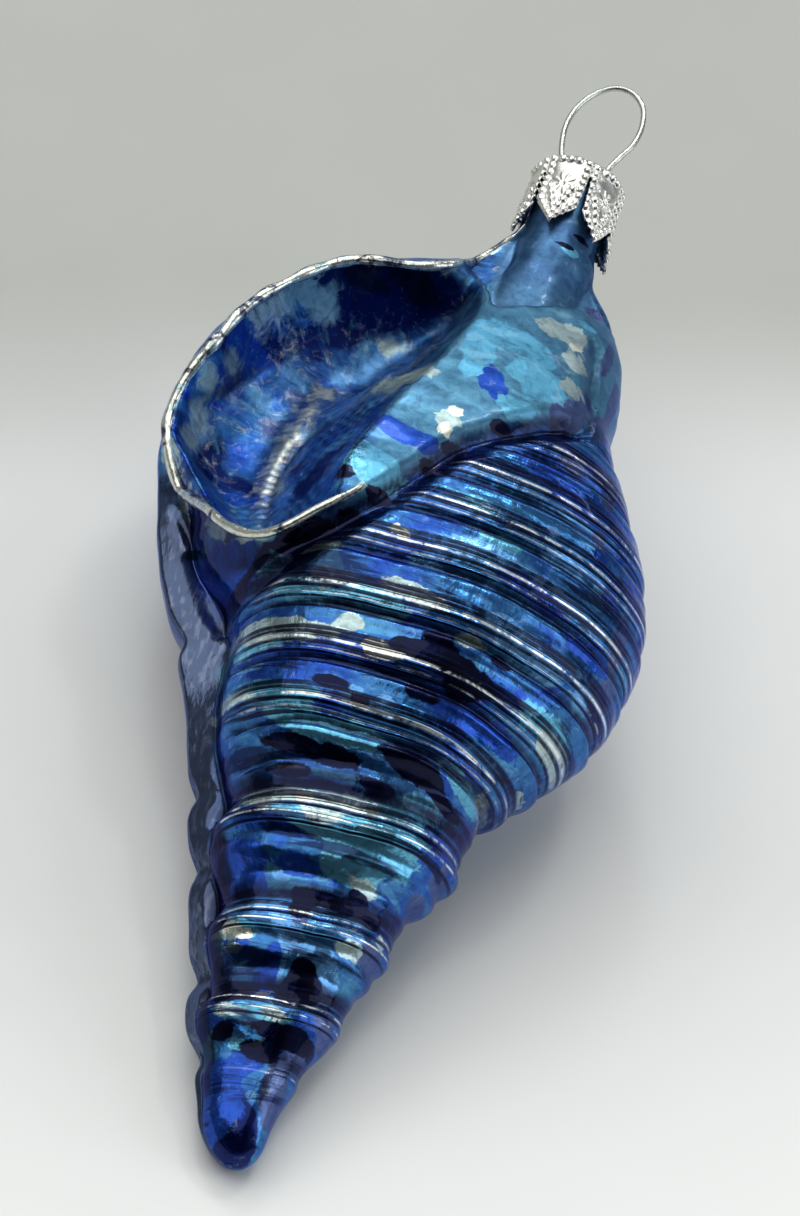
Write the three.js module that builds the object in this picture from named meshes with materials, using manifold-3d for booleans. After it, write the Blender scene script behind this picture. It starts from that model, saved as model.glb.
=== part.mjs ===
// A mould-blown glass ornament in the form of a turret shell, lying on its back.
// Millimetres, +Z up. The shell's axis runs along +Y from the pointed tip to the capped neck,
// raised by REST_TILT, and the mouth looks up.

import * as THREE from 'three';
import { mergeVertices } from 'three/addons/utils/BufferGeometryUtils.js';
import Module from 'manifold-3d';

const wasm = await Module();
wasm.setup();

// Driving dimensions of the glass, along its axis from the tip
const NECK_RIM = 131.7;
const NECK_RADIUS = 4.4;
const TIP_ROUNDING = 4.5;
const WALL = 1.2;
const HOLLOW_START = 7;

// Half-widths of the glass: place on the axis, left, right, front, back, and the step on the front's left side
const PROFILE = [
  [0, 3.6, 3.2, 3.2, 3.4, 0],
  [6, 5.6, 2.9, 3.9, 4.1, 0.5],
  [14, 9.6, 5.0, 5.9, 5.5, 0.9],
  [20, 11.3, 7.0, 7.5, 6.7, 1.6],
  [30, 14.6, 9.4, 10.3, 8.9, 1.8],
  [40, 18.0, 13.2, 13.3, 11.1, 2.5],
  [50, 21.6, 16.4, 16.4, 13.3, 3.4],
  [60, 26.8, 22.2, 18.8, 15.6, 6.4],
  [66, 30.0, 24.0, 19.4, 17.5, 4.3],
  [73, 32.4, 24.6, 19.4, 19.8, 3.0],
  [80, 34.8, 23.1, 18.0, 21.8, 0],
  [86, 36.0, 20.5, 16.7, 22.6, 0],
  [92, 35.9, 16.8, 15.4, 22.0, 0],
  [98, 34.3, 13.7, 13.6, 18.6, 0],
  [103, 31.4, 13.4, 11.4, 15.2, 0],
  [107, 27.9, 12.6, 9.4, 12.4, 0],
  [110, 23.9, 11.6, 8.0, 10.2, 0],
  [113, 17.4, 10.2, 6.2, 8.2, 0],
  [116, 10.2, 8.4, 5.2, 6.6, 0],
  [119, 7.3, 5.5, 4.4, 4.9, 0],
  [121.8, NECK_RADIUS, NECK_RADIUS, NECK_RADIUS, NECK_RADIUS, 0],
  [NECK_RIM, NECK_RADIUS, NECK_RADIUS, NECK_RADIUS, NECK_RADIUS, 0],
];

// The pad's top edge, across and along, past which the round neck stands between low shoulders
const NECK_EDGE = [
  [-14, 118], [-7, 112], [-4.6, 106.5], [-2.8, 107.6], [0, 109.2], [2.6, 111], [4.8, 112.4], [9, 113],
];
const SHOULDER_SHARE = 0.42;
const NECK_SETBACK = 4.5;

// Turns of the spire: the suture of turn n lies at n^2 + SUTURE_RISE n + SUTURE_START along the axis
const SUTURE_START = 3.4;
const SUTURE_RISE = 4.5;
const LAST_SUTURE = 4;
const GROOVE_SHARE = 0.12;
const KEEL = 0.68;

// Ribs of the body whorl, one pitch for each turn
const RIB_PITCH = 6.5;
const RIB_START = 60.8;
const RIB_HEIGHT = 1.1;

// The crease between the mouth's pad and the ribs, across and along
const CREASE = [
  [-20.1, 57.6], [-17.9, 61.4], [-15.3, 64], [-13.2, 66.6], [-10.2, 70.2], [-8.2, 72.9], [-6.3, 76.3],
  [-4.2, 80], [-2.4, 82.9], [0.7, 86.1], [3.8, 88.8], [6.8, 91.3], [10.2, 93.8], [14, 96.4],
];
const CREASE_DEPTH = 1.6;

// The mouth's outline across and along, and the place and height of its floor
const MOUTH = [
  [-7, 113.4], [-13, 109.8], [-20.6, 107.6], [-26.4, 101.4], [-30.6, 94.4], [-32.8, 87.5], [-33.2, 81.6],
  [-31.2, 76.4], [-27, 71.2], [-22.6, 67.6], [-18.8, 66.9], [-15.6, 69.8], [-14.2, 75], [-13.6, 84], [-12, 92],
  [-9.4, 100], [-6.4, 107],
];
const MOUTH_FLOOR = { across: -21, along: 93, height: -3.5 };

// How the ornament lies
const REST_TILT = THREE.MathUtils.degToRad(13.3);
const LIFT = 2.5;
const LOWEST_POINT_ACROSS = -6.5;

// Cap and wire
const CAP_TOP = 132.7;
const CAP_TIP = 122.4;
const CAP_INSIDE = 5.0;
const CAP_OUTSIDE = 5.85;
const CAP_TOP_THICKNESS = 0.5;
const PETALS = 6;
const FIRST_SLIT = THREE.MathUtils.degToRad(10);
const SLIT_TOP = 130.4;
const NOTCH_TOP = 125.6;
const SLIT_WIDTH = 0.4;
const WIRE_RADIUS = 0.36;
const WIRE_HOLE_RADIUS = 0.7;
const WIRE_HOLE_ACROSS = 2.3;
const WIRE = [
  [-2.5, 124], [-2.3, 129], [-2.4, 133.2], [-3.4, 136.6], [-3.8, 139.8], [-3.2, 142.9], [-1.7, 145.6],
  [0.3, 147.3], [2.4, 147.4], [4.1, 145.8], [4.7, 143], [4.4, 140.3], [3.5, 138.2], [2.6, 135.8], [2.3, 133.2],
  [2.3, 129], [2.5, 124],
];

// How finely the glass is divided
const FACETS_ROUND = 48;
const HOLLOW_FACETS_ROUND = 18;
const HOLLOW_ROWS = 17;
const MOUTH_FACETS = 40;
const RETURN_START = 0.92;

const TAU = 2 * Math.PI;
const smooth = (x, low, high) => THREE.MathUtils.smoothstep(x, low, high);
const mix = THREE.MathUtils.lerp;
const fraction = (x) => x - Math.floor(x);

// Smooth curve through a table's rows, each column against the first
function along(table, x) {
  const last = table.length - 1;
  let i = 0;
  while (i < last - 1 && x > table[i + 1][0]) i += 1;
  const slope = (k, column) => {
    const before = table[Math.max(k - 1, 0)];
    const after = table[Math.min(k + 1, last)];
    return (after[column] - before[column]) / (after[0] - before[0]);
  };
  const step = table[i + 1][0] - table[i][0];
  const t = THREE.MathUtils.clamp((x - table[i][0]) / step, 0, 1);
  return table[i].slice(1).map((value, k) => {
    const start = step * (t ** 3 - 2 * t ** 2 + t) * slope(i, k + 1);
    const end = step * (t ** 3 - t ** 2) * slope(i + 1, k + 1);
    return value + (3 * t ** 2 - 2 * t ** 3) * (table[i + 1][k + 1] - value) + start + end;
  });
}

const sutureHeight = (n) => n * n + SUTURE_RISE * n + SUTURE_START;
const turnAt = (a) => (-SUTURE_RISE + Math.sqrt(Math.max(SUTURE_RISE ** 2 + 4 * (a - SUTURE_START), 0.01))) / 2;

// Share of a turn at an angle, from the left side round the front
const turnShare = (angle) => (angle + Math.PI / 2) / TAU;

// Past the pad's top edge the front drops to its shoulders, with the neck's round tube between them;
// the hollow inside drops sooner, so that the step keeps its wall
function necked(across, a, height, inset) {
  const edge = along(NECK_EDGE, THREE.MathUtils.clamp(across, -14, 9))[0] - NECK_SETBACK * inset;
  const tube = Math.sqrt(Math.max((NECK_RADIUS - inset) ** 2 - across * across, 0));
  const shoulder = Math.max(SHOULDER_SHARE * (height - inset), 0);
  return mix(height, Math.max(tube, shoulder), smooth(a - edge, -0.3, 1.2));
}

// Quarter ellipses at one height; angle 0 is the front, a quarter turn is the right side
function ellipses(angle, a, inset) {
  const rounding = Math.sqrt(1 - (1 - Math.min(a / TIP_ROUNDING, 1)) ** 2);
  const half = along(PROFILE, a).map((value) => value * rounding);
  const step = Math.max(half[4], 0);
  const left = half[0] - (inset ? step + inset : 0);
  const right = half[1] - inset;
  const front = half[2] - inset;
  const back = half[3] - inset;
  const ledge = inset ? 0 : step;
  const sine = Math.sin(angle);
  if (Math.cos(angle) < -1e-9) {
    const across = sine * (sine > 0 ? right : left);
    const lowest = LOWEST_POINT_ACROSS * smooth(a, 10, 80) * (1 - smooth(a, 95, 118));
    const reach = across > lowest ? (across - lowest) / (right - lowest) : (across - lowest) / (left + lowest);
    return [across, -back * Math.sqrt(Math.max(1 - reach * reach, 0))];
  }
  if (sine >= 0) return [right * sine, front * Math.cos(angle)];
  const share = THREE.MathUtils.degToRad(12) * Math.min(ledge / 1.5, 1);
  const wallEnd = Math.PI / 2 - share;
  const foot = Math.min(2, 0.3 * front) * Math.min(ledge / 1.5, 1);
  if (-angle > wallEnd) {
    const t = (-angle - wallEnd) / Math.max(share, 1e-6);
    return [mix(ledge - left, -left, t), mix(foot, 0, t)];
  }
  const turned = -angle * (Math.PI / 2) / wallEnd;
  const squareness = mix(1, 0.8, Math.min(ledge / 1.5, 1));
  const wall = Math.sin(turned) ** squareness;
  return [(ledge - left) * wall, foot + (front - foot) * Math.max(Math.cos(turned), 0) ** squareness];
}

// Plain section of the glass at one height, with the neck
function section(angle, a, inset = 0) {
  const [across, height] = ellipses(angle, a, inset);
  return [across, Math.cos(angle) < -1e-9 ? height : necked(across, a, height, inset)];
}

// How far the whorls, ribs and crease stand back from the section
function relief(angle, a, across, radius) {
  const share = turnShare(angle);
  const turns = turnAt(a) - share;
  const p = fraction(turns);
  const rise = p < KEEL ? 1 - smooth(p, 0.02, KEEL - 0.08) : smooth(p, KEEL + 0.04, 1);
  const spire = turns > LAST_SUTURE + KEEL ? 0 : rise * smooth(a, 6, 12);
  const groove = GROOVE_SHARE * radius * spire;
  const crease = along(CREASE, THREE.MathUtils.clamp(across, -20.1, 14))[0];
  const onFront = Math.cos(angle) > 0;
  const fromGroove = Math.abs(fraction((a - RIB_START) / RIB_PITCH - share + 1) - 0.5);
  const between = 0.35 * (1 - 2 * fromGroove) + 0.65 * Math.exp(-((fromGroove / 0.17) ** 2));
  const below = onFront ? smooth(crease - a, 0, 3) : 1 - smooth(a, 96, 103);
  const side = Math.max(1 - smooth(angle, 1.9, 2.6), 0) * smooth(angle, -1.25, -0.85);
  const rib = RIB_HEIGHT * between * below * side * smooth(turns, LAST_SUTURE + 0.1, LAST_SUTURE + 0.35);
  const press = onFront ? Math.exp(-(((a - crease) / 1.7) ** 2)) * (1 - smooth(across, 8, 14)) : 0;
  return groove + rib + CREASE_DEPTH * press;
}

const floorLine = (a) => -(LIFT + a * Math.sin(REST_TILT)) / Math.cos(REST_TILT);

// A point of the glass's outside, flattened where it rests
function glassPoint(angle, a) {
  const [across, height] = section(angle, a);
  const radius = Math.hypot(across, height);
  const scale = radius > 0.5 ? 1 - relief(angle, a, across, radius) / radius : 1;
  return [across * scale, a, Math.max(height * scale, floorLine(a))];
}

// Rows follow the winding of the whorls and ribs from the left side round the front, and return at the back
function rowHeight(row, angle) {
  const share = turnShare(angle);
  const shift = Math.min(share, (RETURN_START * (1 - share)) / (1 - RETURN_START)) - 0.5;
  const onSpire = sutureHeight(Math.max(turnAt(row) + shift, 0));
  const spire = mix(row, onSpire, smooth(row, 7, 13));
  const body = mix(row + RIB_PITCH * shift, row, smooth(row, 95, 106));
  return mix(spire, body, smooth(row, 46, 57));
}

// Heights of the rows half a turn round, from the tip to the neck's rim
function rows() {
  const list = [0.15, 0.7, 1.7, 3.2, 5.2, 7.4];
  for (let n = 1; n < LAST_SUTURE + 0.5; n += 1) {
    for (const p of [0, 0.16, 0.38, KEEL - 0.08, KEEL + 0.05, 0.88]) {
      const height = sutureHeight(n + 0.5 + p);
      if (height > 9 && height < 52) list.push(height);
    }
  }
  for (let k = -1; k < 7; k += 1) {
    for (const q of [0, 0.27, 0.5, 0.73]) {
      const height = RIB_START + RIB_PITCH * (k + q);
      if (height > 54) list.push(height);
    }
  }
  return list.concat([106.2, 107.8, 109.4, 111, 112.8, 115, 117.5, 120.5, 124.5, NECK_RIM]);
}

// A closed surface from rings of points, capped at both ends
function closedLoft(rings) {
  const positions = [];
  const count = rings[0].length;
  const triangle = (p, q, r) => positions.push(...p, ...q, ...r);
  for (let i = 0; i + 1 < rings.length; i += 1) {
    for (let j = 0; j < count; j += 1) {
      const k = (j + 1) % count;
      triangle(rings[i][j], rings[i + 1][j], rings[i + 1][k]);
      triangle(rings[i][j], rings[i + 1][k], rings[i][k]);
    }
  }
  const middle = (ring) => [0, 1, 2].map((axis) => ring.reduce((sum, point) => sum + point[axis], 0) / count);
  const first = middle(rings[0]);
  const end = middle(rings[rings.length - 1]);
  for (let j = 0; j < count; j += 1) {
    const k = (j + 1) % count;
    triangle(first, rings[0][j], rings[0][k]);
    triangle(end, rings[rings.length - 1][k], rings[rings.length - 1][j]);
  }
  const geometry = new THREE.BufferGeometry();
  geometry.setAttribute('position', new THREE.Float32BufferAttribute(positions, 3));
  return geometry;
}

// The three.js geometry as a solid, turned the right way out
function solid(geometry) {
  const bare = geometry.clone();
  bare.deleteAttribute('normal');
  bare.deleteAttribute('uv');
  const merged = mergeVertices(bare, 1e-4);
  const vertProperties = new Float32Array(merged.attributes.position.array);
  const triVerts = new Uint32Array(merged.index.array);
  const made = new wasm.Manifold(new wasm.Mesh({ numProp: 3, vertProperties, triVerts }));
  if (made.volume() > 0) return made;
  for (let i = 0; i < triVerts.length; i += 3) {
    [triVerts[i], triVerts[i + 1]] = [triVerts[i + 1], triVerts[i]];
  }
  return new wasm.Manifold(new wasm.Mesh({ numProp: 3, vertProperties, triVerts }));
}

function geometryOf(manifold) {
  const mesh = manifold.getMesh();
  const points = [];
  for (let i = 0; i < mesh.vertProperties.length; i += mesh.numProp) {
    points.push(mesh.vertProperties[i], mesh.vertProperties[i + 1], mesh.vertProperties[i + 2]);
  }
  const geometry = new THREE.BufferGeometry();
  geometry.setAttribute('position', new THREE.Float32BufferAttribute(points, 3));
  geometry.setIndex(Array.from(mesh.triVerts));
  const flat = geometry.toNonIndexed();
  flat.computeVertexNormals();
  return flat;
}

// Angles round the glass, with the step on the left side's edges always among them
function angles(count) {
  return Array.from({ length: count }, (_, j) => -Math.PI / 2 + (TAU * j) / count);
}

function glassOutside() {
  const rings = rows().map((row) => angles(FACETS_ROUND).map((angle) => {
    const a = row < 6 || row > 106 ? row : rowHeight(row, angle);
    return glassPoint(angle, a);
  }));
  return solid(closedLoft(rings));
}

function glassInside() {
  const rings = [];
  for (let i = 0; i <= HOLLOW_ROWS; i += 1) {
    const a = mix(HOLLOW_START, NECK_RIM + 3, i / HOLLOW_ROWS);
    rings.push(angles(HOLLOW_FACETS_ROUND).map((angle) => {
      const groove = a < 56 ? 0.13 * along(PROFILE, a)[0] * smooth(a, 5, 11) : RIB_HEIGHT;
      const inset = WALL + groove * (1 - smooth(a, 100, 112));
      const [across, height] = section(angle, Math.min(a, NECK_RIM), inset);
      return [across, a, height];
    }));
  }
  return solid(closedLoft(rings));
}

// The hollow of the mouth, as the solid that it takes away; grow makes it larger all round
function mouthHollow(grow = 0) {
  const corners = MOUTH.map(([x, y]) => new THREE.Vector3(x, y, 0));
  const outline = new THREE.CatmullRomCurve3(corners, true).getPoints(MOUTH_FACETS).slice(0, -1);
  const { across, along: place, height } = MOUTH_FLOOR;
  const ring = (size, drop) => outline.map((point) => {
    const reach = Math.hypot(point.x - across, point.y - place);
    const scale = size * (1 + grow / reach);
    const [right, front] = [point.x > 0 ? 1 : 0, along(PROFILE, point.y)];
    const half = right ? front[1] : front[0];
    const top = front[2] * Math.sqrt(Math.max(1 - (point.x / half) ** 2, 0)) - grow;
    const level = mix(top, height - grow, drop);
    return [across + (point.x - across) * scale, place + (point.y - place) * scale, level];
  });
  const rings = [outline.map((point) => {
    const scale = 1 + grow / Math.hypot(point.x - across, point.y - place);
    return [across + (point.x - across) * scale, place + (point.y - place) * scale, 30];
  })];
  for (const turn of [0, 0.16, 0.34, 0.52, 0.7, 0.86]) {
    const angle = turn * Math.PI / 2;
    rings.push(ring(Math.cos(angle) ** 0.9, Math.sin(angle)));
  }
  return solid(closedLoft(rings));
}

function mesh(name, geometry, colour, roughness, metalness) {
  const material = new THREE.MeshStandardMaterial({ color: colour, roughness, metalness });
  const made = new THREE.Mesh(geometry, material);
  made.name = name;
  return made;
}

function glassShell() {
  const hollow = glassInside().subtract(mouthHollow(WALL + 0.4));
  const glass = glassOutside().subtract(mouthHollow()).subtract(hollow);
  return mesh('glass_shell', geometryOf(glass), 0x1d3f9a, 0.08, 0.9);
}

// A straight cylinder along the axis
function post(radius, low, high, across = 0) {
  const geometry = new THREE.CylinderGeometry(radius, radius, high - low, 12);
  geometry.translate(across, (low + high) / 2, 0);
  return solid(geometry);
}

function cap() {
  const profile = [
    [0, CAP_TOP], [CAP_OUTSIDE - 0.5, CAP_TOP], [CAP_OUTSIDE, CAP_TOP - 0.5], [CAP_OUTSIDE, CAP_TIP],
    [CAP_INSIDE, CAP_TIP], [CAP_INSIDE, CAP_TOP - CAP_TOP_THICKNESS], [0, CAP_TOP - CAP_TOP_THICKNESS],
  ].map(([x, y]) => new THREE.Vector2(x, y));
  let made = solid(new THREE.LatheGeometry(profile, 36));
  const foot = CAP_OUTSIDE * Math.tan(Math.PI / PETALS) - 0.25;
  const half = SLIT_WIDTH / 2;
  const notch = new THREE.Shape([
    [-foot, CAP_TIP - 1], [foot, CAP_TIP - 1], [foot, CAP_TIP], [half, NOTCH_TOP], [half, SLIT_TOP],
    [-half, SLIT_TOP], [-half, NOTCH_TOP], [-foot, CAP_TIP],
  ].map(([x, y]) => new THREE.Vector2(x, y)));
  for (let k = 0; k < PETALS; k += 1) {
    const cutter = new THREE.ExtrudeGeometry(notch, { depth: CAP_OUTSIDE, bevelEnabled: false });
    cutter.translate(0, 0, 2);
    cutter.rotateY(FIRST_SLIT + (k * TAU) / PETALS);
    made = made.subtract(solid(cutter));
  }
  for (const side of [-1, 1]) {
    made = made.subtract(post(WIRE_HOLE_RADIUS, CAP_TOP - 2, CAP_TOP + 2, side * WIRE_HOLE_ACROSS));
  }
  return mesh('cap', geometryOf(made), 0xd8dade, 0.25, 0.95);
}

function wireLoop() {
  const path = new THREE.CatmullRomCurve3(WIRE.map(([x, y]) => new THREE.Vector3(x, y, 0)));
  const corners = Array.from({ length: 8 }, (_, j) => {
    const angle = (TAU * j) / 8;
    return new THREE.Vector2(WIRE_RADIUS * Math.cos(angle), WIRE_RADIUS * Math.sin(angle));
  });
  const geometry = new THREE.ExtrudeGeometry(new THREE.Shape(corners), { steps: 48, extrudePath: path });
  return mesh('wire_loop', geometryOf(solid(geometry)), 0xc9ccd0, 0.3, 0.95);
}

const group = new THREE.Group();
group.add(glassShell(), cap(), wireLoop());
group.rotation.x = REST_TILT;
group.updateMatrixWorld(true);

// The origin is under the middle of the ornament's box
const box = new THREE.Box3().setFromObject(group, true);
group.position.set(-(box.min.x + box.max.x) / 2, -(box.min.y + box.max.y) / 2, -box.min.z);
group.updateMatrixWorld(true);

export default group;
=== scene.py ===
import math
import bmesh
import bpy
import numpy as np
from mathutils import Matrix, Vector


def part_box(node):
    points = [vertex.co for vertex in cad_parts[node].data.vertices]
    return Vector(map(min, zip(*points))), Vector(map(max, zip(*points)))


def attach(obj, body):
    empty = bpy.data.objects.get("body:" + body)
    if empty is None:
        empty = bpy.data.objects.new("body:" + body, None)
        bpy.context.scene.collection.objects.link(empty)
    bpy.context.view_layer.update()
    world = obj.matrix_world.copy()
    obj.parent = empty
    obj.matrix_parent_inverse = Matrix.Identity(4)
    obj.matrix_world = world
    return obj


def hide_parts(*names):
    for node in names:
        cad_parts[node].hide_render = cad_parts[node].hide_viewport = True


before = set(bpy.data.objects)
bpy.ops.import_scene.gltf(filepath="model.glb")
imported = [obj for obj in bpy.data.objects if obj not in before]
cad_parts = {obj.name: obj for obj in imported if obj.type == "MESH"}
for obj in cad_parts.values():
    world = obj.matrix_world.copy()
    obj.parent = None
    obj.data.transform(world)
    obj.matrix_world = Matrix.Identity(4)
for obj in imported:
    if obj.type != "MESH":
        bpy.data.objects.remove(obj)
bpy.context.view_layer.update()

# Lengths in the dictionaries are in millimetres; meshes are made in metres
mm = 0.001

# How the ornament lies: the shell's own frame is across, along from the tip, and height
lie = {"tilt": math.radians(13.3), "lift": 2.5, "neckRim": 131.7, "neckRadius": 4.4}


def placeOfShell():
    # The cap is centred on the axis, and the glass ends in the upper edge of the neck's rim
    low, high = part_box("cap")
    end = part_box("glass_shell")[1][1] / mm
    reach = lie["neckRim"] * math.cos(lie["tilt"]) + lie["neckRadius"] * math.sin(lie["tilt"])
    return np.array([(low[0] + high[0]) / 2 / mm, end - reach, lie["lift"]])


shellPlace = placeOfShell()
print("shell's tip at", shellPlace)


def toFrame(across, along, height):
    # Turns a point of the shell's own frame about X by the tilt and moves it to its place, in metres
    c, s = math.cos(lie["tilt"]), math.sin(lie["tilt"])
    points = np.stack([across, along * c - height * s, along * s + height * c], axis=-1)
    return (points + shellPlace) * mm


def smooth(x, low, high):
    t = np.clip((x - low) / (high - low), 0, 1)
    return t * t * (3 - 2 * t)


def mix(a, b, t):
    return a + (b - a) * t


def through(table, x):
    # Smooth curve through the rows of a table, each column against the first, by cubic Hermite pieces
    table = np.array(table, float)
    place, values = table[:, 0], table[:, 1:]
    slopes = np.empty_like(values)
    slopes[1:-1] = (values[2:] - values[:-2]) / (place[2:] - place[:-2])[:, None]
    slopes[0] = (values[1] - values[0]) / (place[1] - place[0])
    slopes[-1] = (values[-1] - values[-2]) / (place[-1] - place[-2])
    i = np.clip(np.searchsorted(place, x) - 1, 0, len(place) - 2)
    step = place[i + 1] - place[i]
    t = np.clip((x - place[i]) / step, 0, 1)[..., None]
    step = step[..., None]
    rise = step * (t**3 - 2 * t**2 + t) * slopes[i] + step * (t**3 - t**2) * slopes[i + 1]
    return values[i] + (3 * t**2 - 2 * t**3) * (values[i + 1] - values[i]) + rise


def curvePoints(corners, count):
    # Smooth curve through a few corners, against the corner's number
    corners = np.array(corners, float)
    number = np.arange(len(corners), dtype=float)
    return through(np.column_stack([number, corners]), np.linspace(0, len(corners) - 1, count))


def nearness(across, along, curve):
    # Distance from each point to the nearest of a curve's runs, and how far along the curve that is
    flat = np.stack([across.ravel(), along.ravel()], axis=-1)
    gap = np.full(len(flat), 1e9)
    share = np.zeros(len(flat))
    for number in range(len(curve) - 1):
        start, run = curve[number], curve[number + 1] - curve[number]
        t = np.clip(((flat - start) @ run) / (run @ run), 0, 1)
        d = np.hypot(*(flat - start - t[:, None] * run).T)
        near = d < gap
        gap = np.where(near, d, gap)
        share = np.where(near, (number + t) / (len(curve) - 1), share)
    return gap.reshape(across.shape), share.reshape(across.shape)


def insideOf(across, along, outline):
    # Counts how often a line to the right crosses the closed outline
    crossings = np.zeros(across.shape, int)
    for start, end in zip(outline, np.roll(outline, -1, axis=0)):
        spans = (start[1] > along) != (end[1] > along)
        rise = end[1] - start[1] if end[1] != start[1] else 1e-9
        crossings += spans & (across < start[0] + (along - start[1]) * (end[0] - start[0]) / rise)
    return crossings % 2 == 1


def wobble(x, y, size, seed):
    # Soft unevenness from a few crossed waves, between about -1 and 1
    chance = np.random.default_rng(seed)
    total = np.zeros(np.broadcast(x, y).shape)
    for number in range(6):
        turn, start = chance.uniform(0, math.pi), chance.uniform(0, 6.28)
        pace = 6.28 / (size * chance.uniform(0.7, 1.5))
        total = total + np.sin(pace * (x * math.cos(turn) + y * math.sin(turn)) + start)
    return total / 3.2


def makeMesh(name, points, faces):
    mesh = bpy.data.meshes.new(name)
    mesh.from_pydata(points.reshape(-1, 3).tolist(), [], faces)
    mesh.update()
    mesh.shade_smooth()
    piece = bpy.data.objects.new(name, mesh)
    bpy.context.scene.collection.objects.link(piece)
    return piece


def gridFaces(rowCount, columnCount, closedAround=True):
    # Quads between neighbouring rows and columns, the last column joined to the first if closed
    columns = np.arange(columnCount if closedAround else columnCount - 1)
    i, j = np.meshgrid(np.arange(rowCount - 1), columns, indexing="ij")
    k = (j + 1) % columnCount
    low, high = i * columnCount, (i + 1) * columnCount
    return np.stack([low + j, low + k, high + k, high + j], axis=-1).reshape(-1, 4)


def keepShare(piece, name, values):
    layer = piece.data.attributes.new(name, "FLOAT", "POINT")
    layer.data.foreach_set("value", np.asarray(values, np.float32).ravel())


def keepWinding(piece, places):
    layer = piece.data.attributes.new("windingPlace", "FLOAT_VECTOR", "POINT")
    layer.data.foreach_set("vector", np.asarray(places, np.float32).ravel())


# The glass: half-widths at places along the axis, as left, right, front, back and the front's left step
glass = {
    "profile": [
        [0, 3.6, 3.2, 3.2, 3.4, 0],
        [6, 5.6, 2.9, 3.9, 4.1, 0.5],
        [14, 9.6, 5.0, 5.9, 5.5, 0.9],
        [20, 11.3, 7.0, 7.5, 6.7, 1.6],
        [30, 14.6, 9.4, 10.3, 8.9, 1.8],
        [40, 18.0, 13.2, 13.3, 11.1, 2.5],
        [50, 21.6, 16.4, 16.4, 13.3, 3.4],
        [60, 26.8, 22.2, 18.8, 15.6, 6.4],
        [66, 30.0, 24.0, 19.4, 17.5, 4.3],
        [73, 32.4, 24.6, 19.4, 19.8, 3.0],
        [80, 34.6, 23.1, 18.0, 21.8, 0],
        [86, 35.2, 20.5, 16.7, 22.6, 0],
        [92, 34.7, 16.8, 15.4, 22.0, 0],
        [98, 32.8, 13.7, 13.6, 18.6, 0],
        [103, 29.9, 13.4, 11.4, 15.2, 0],
        [107, 26.7, 12.6, 9.4, 12.4, 0],
        [110, 23.1, 11.6, 8.0, 10.2, 0],
        [113, 17.4, 10.2, 6.2, 8.2, 0],
        [116, 10.2, 8.4, 5.2, 6.6, 0],
        [119, 7.6, 5.7, 4.5, 4.9, 0],
        [121.3, 5.8, 5.1, 4.5, 4.6, 0],
        [122.8, 4.9, 4.7, 4.4, 4.4, 0],
        [124.6, 4.5, 4.4, 4.4, 4.4, 0],
        [131.7, 4.4, 4.4, 4.4, 4.4, 0],
    ],
    "tipRounding": 4.5, "lowestAcross": -6.5,
    "neckEdge": [
        [-14, 118], [-7, 112], [-4.6, 106.5], [-2.8, 107.6], [0, 109.2], [2.6, 111], [4.8, 112.4], [9, 113],
    ],
    "neckBore": [[4.1, 131.7], [3.6, 131.6], [3.3, 131.2], [3.3, 126], [3.3, 121.4], [1.6, 121.2]],
    "shoulderShare": 0.42, "neckRight": 0.7, "neckLeft": [2.6, 0.25],
    "neckLength": [109, 120], "neckEnd": [120.8, 122.2], "tipShift": 0.04,
    "sutureStart": 3.4, "sutureRise": 4.5, "lastSuture": 4, "grooveShare": 0.12, "keel": 0.68,
    "threadsPerWhorl": 3.3, "threadShare": 0.05,
    "ribPitch": 6.5, "ribStart": 60.8, "ribHeight": 1.15,
    "cordPlace": 0.70, "cordWidth": 0.13, "cordHeight": 0.42,
    "flankNotches": [10.5, 19, 31.5, 40, 57.5], "flankDepth": 1.2, "flankWidth": 1.7,
    "ledgeTurn": math.radians(12), "ledgeFoot": 2.0,
    "unevenness": 0.10, "ripple": 0.028,
    "rows": 390, "noseRows": 14, "fineRows": [44, 97], "frontColumns": 196, "backColumns": 54,
}

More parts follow.
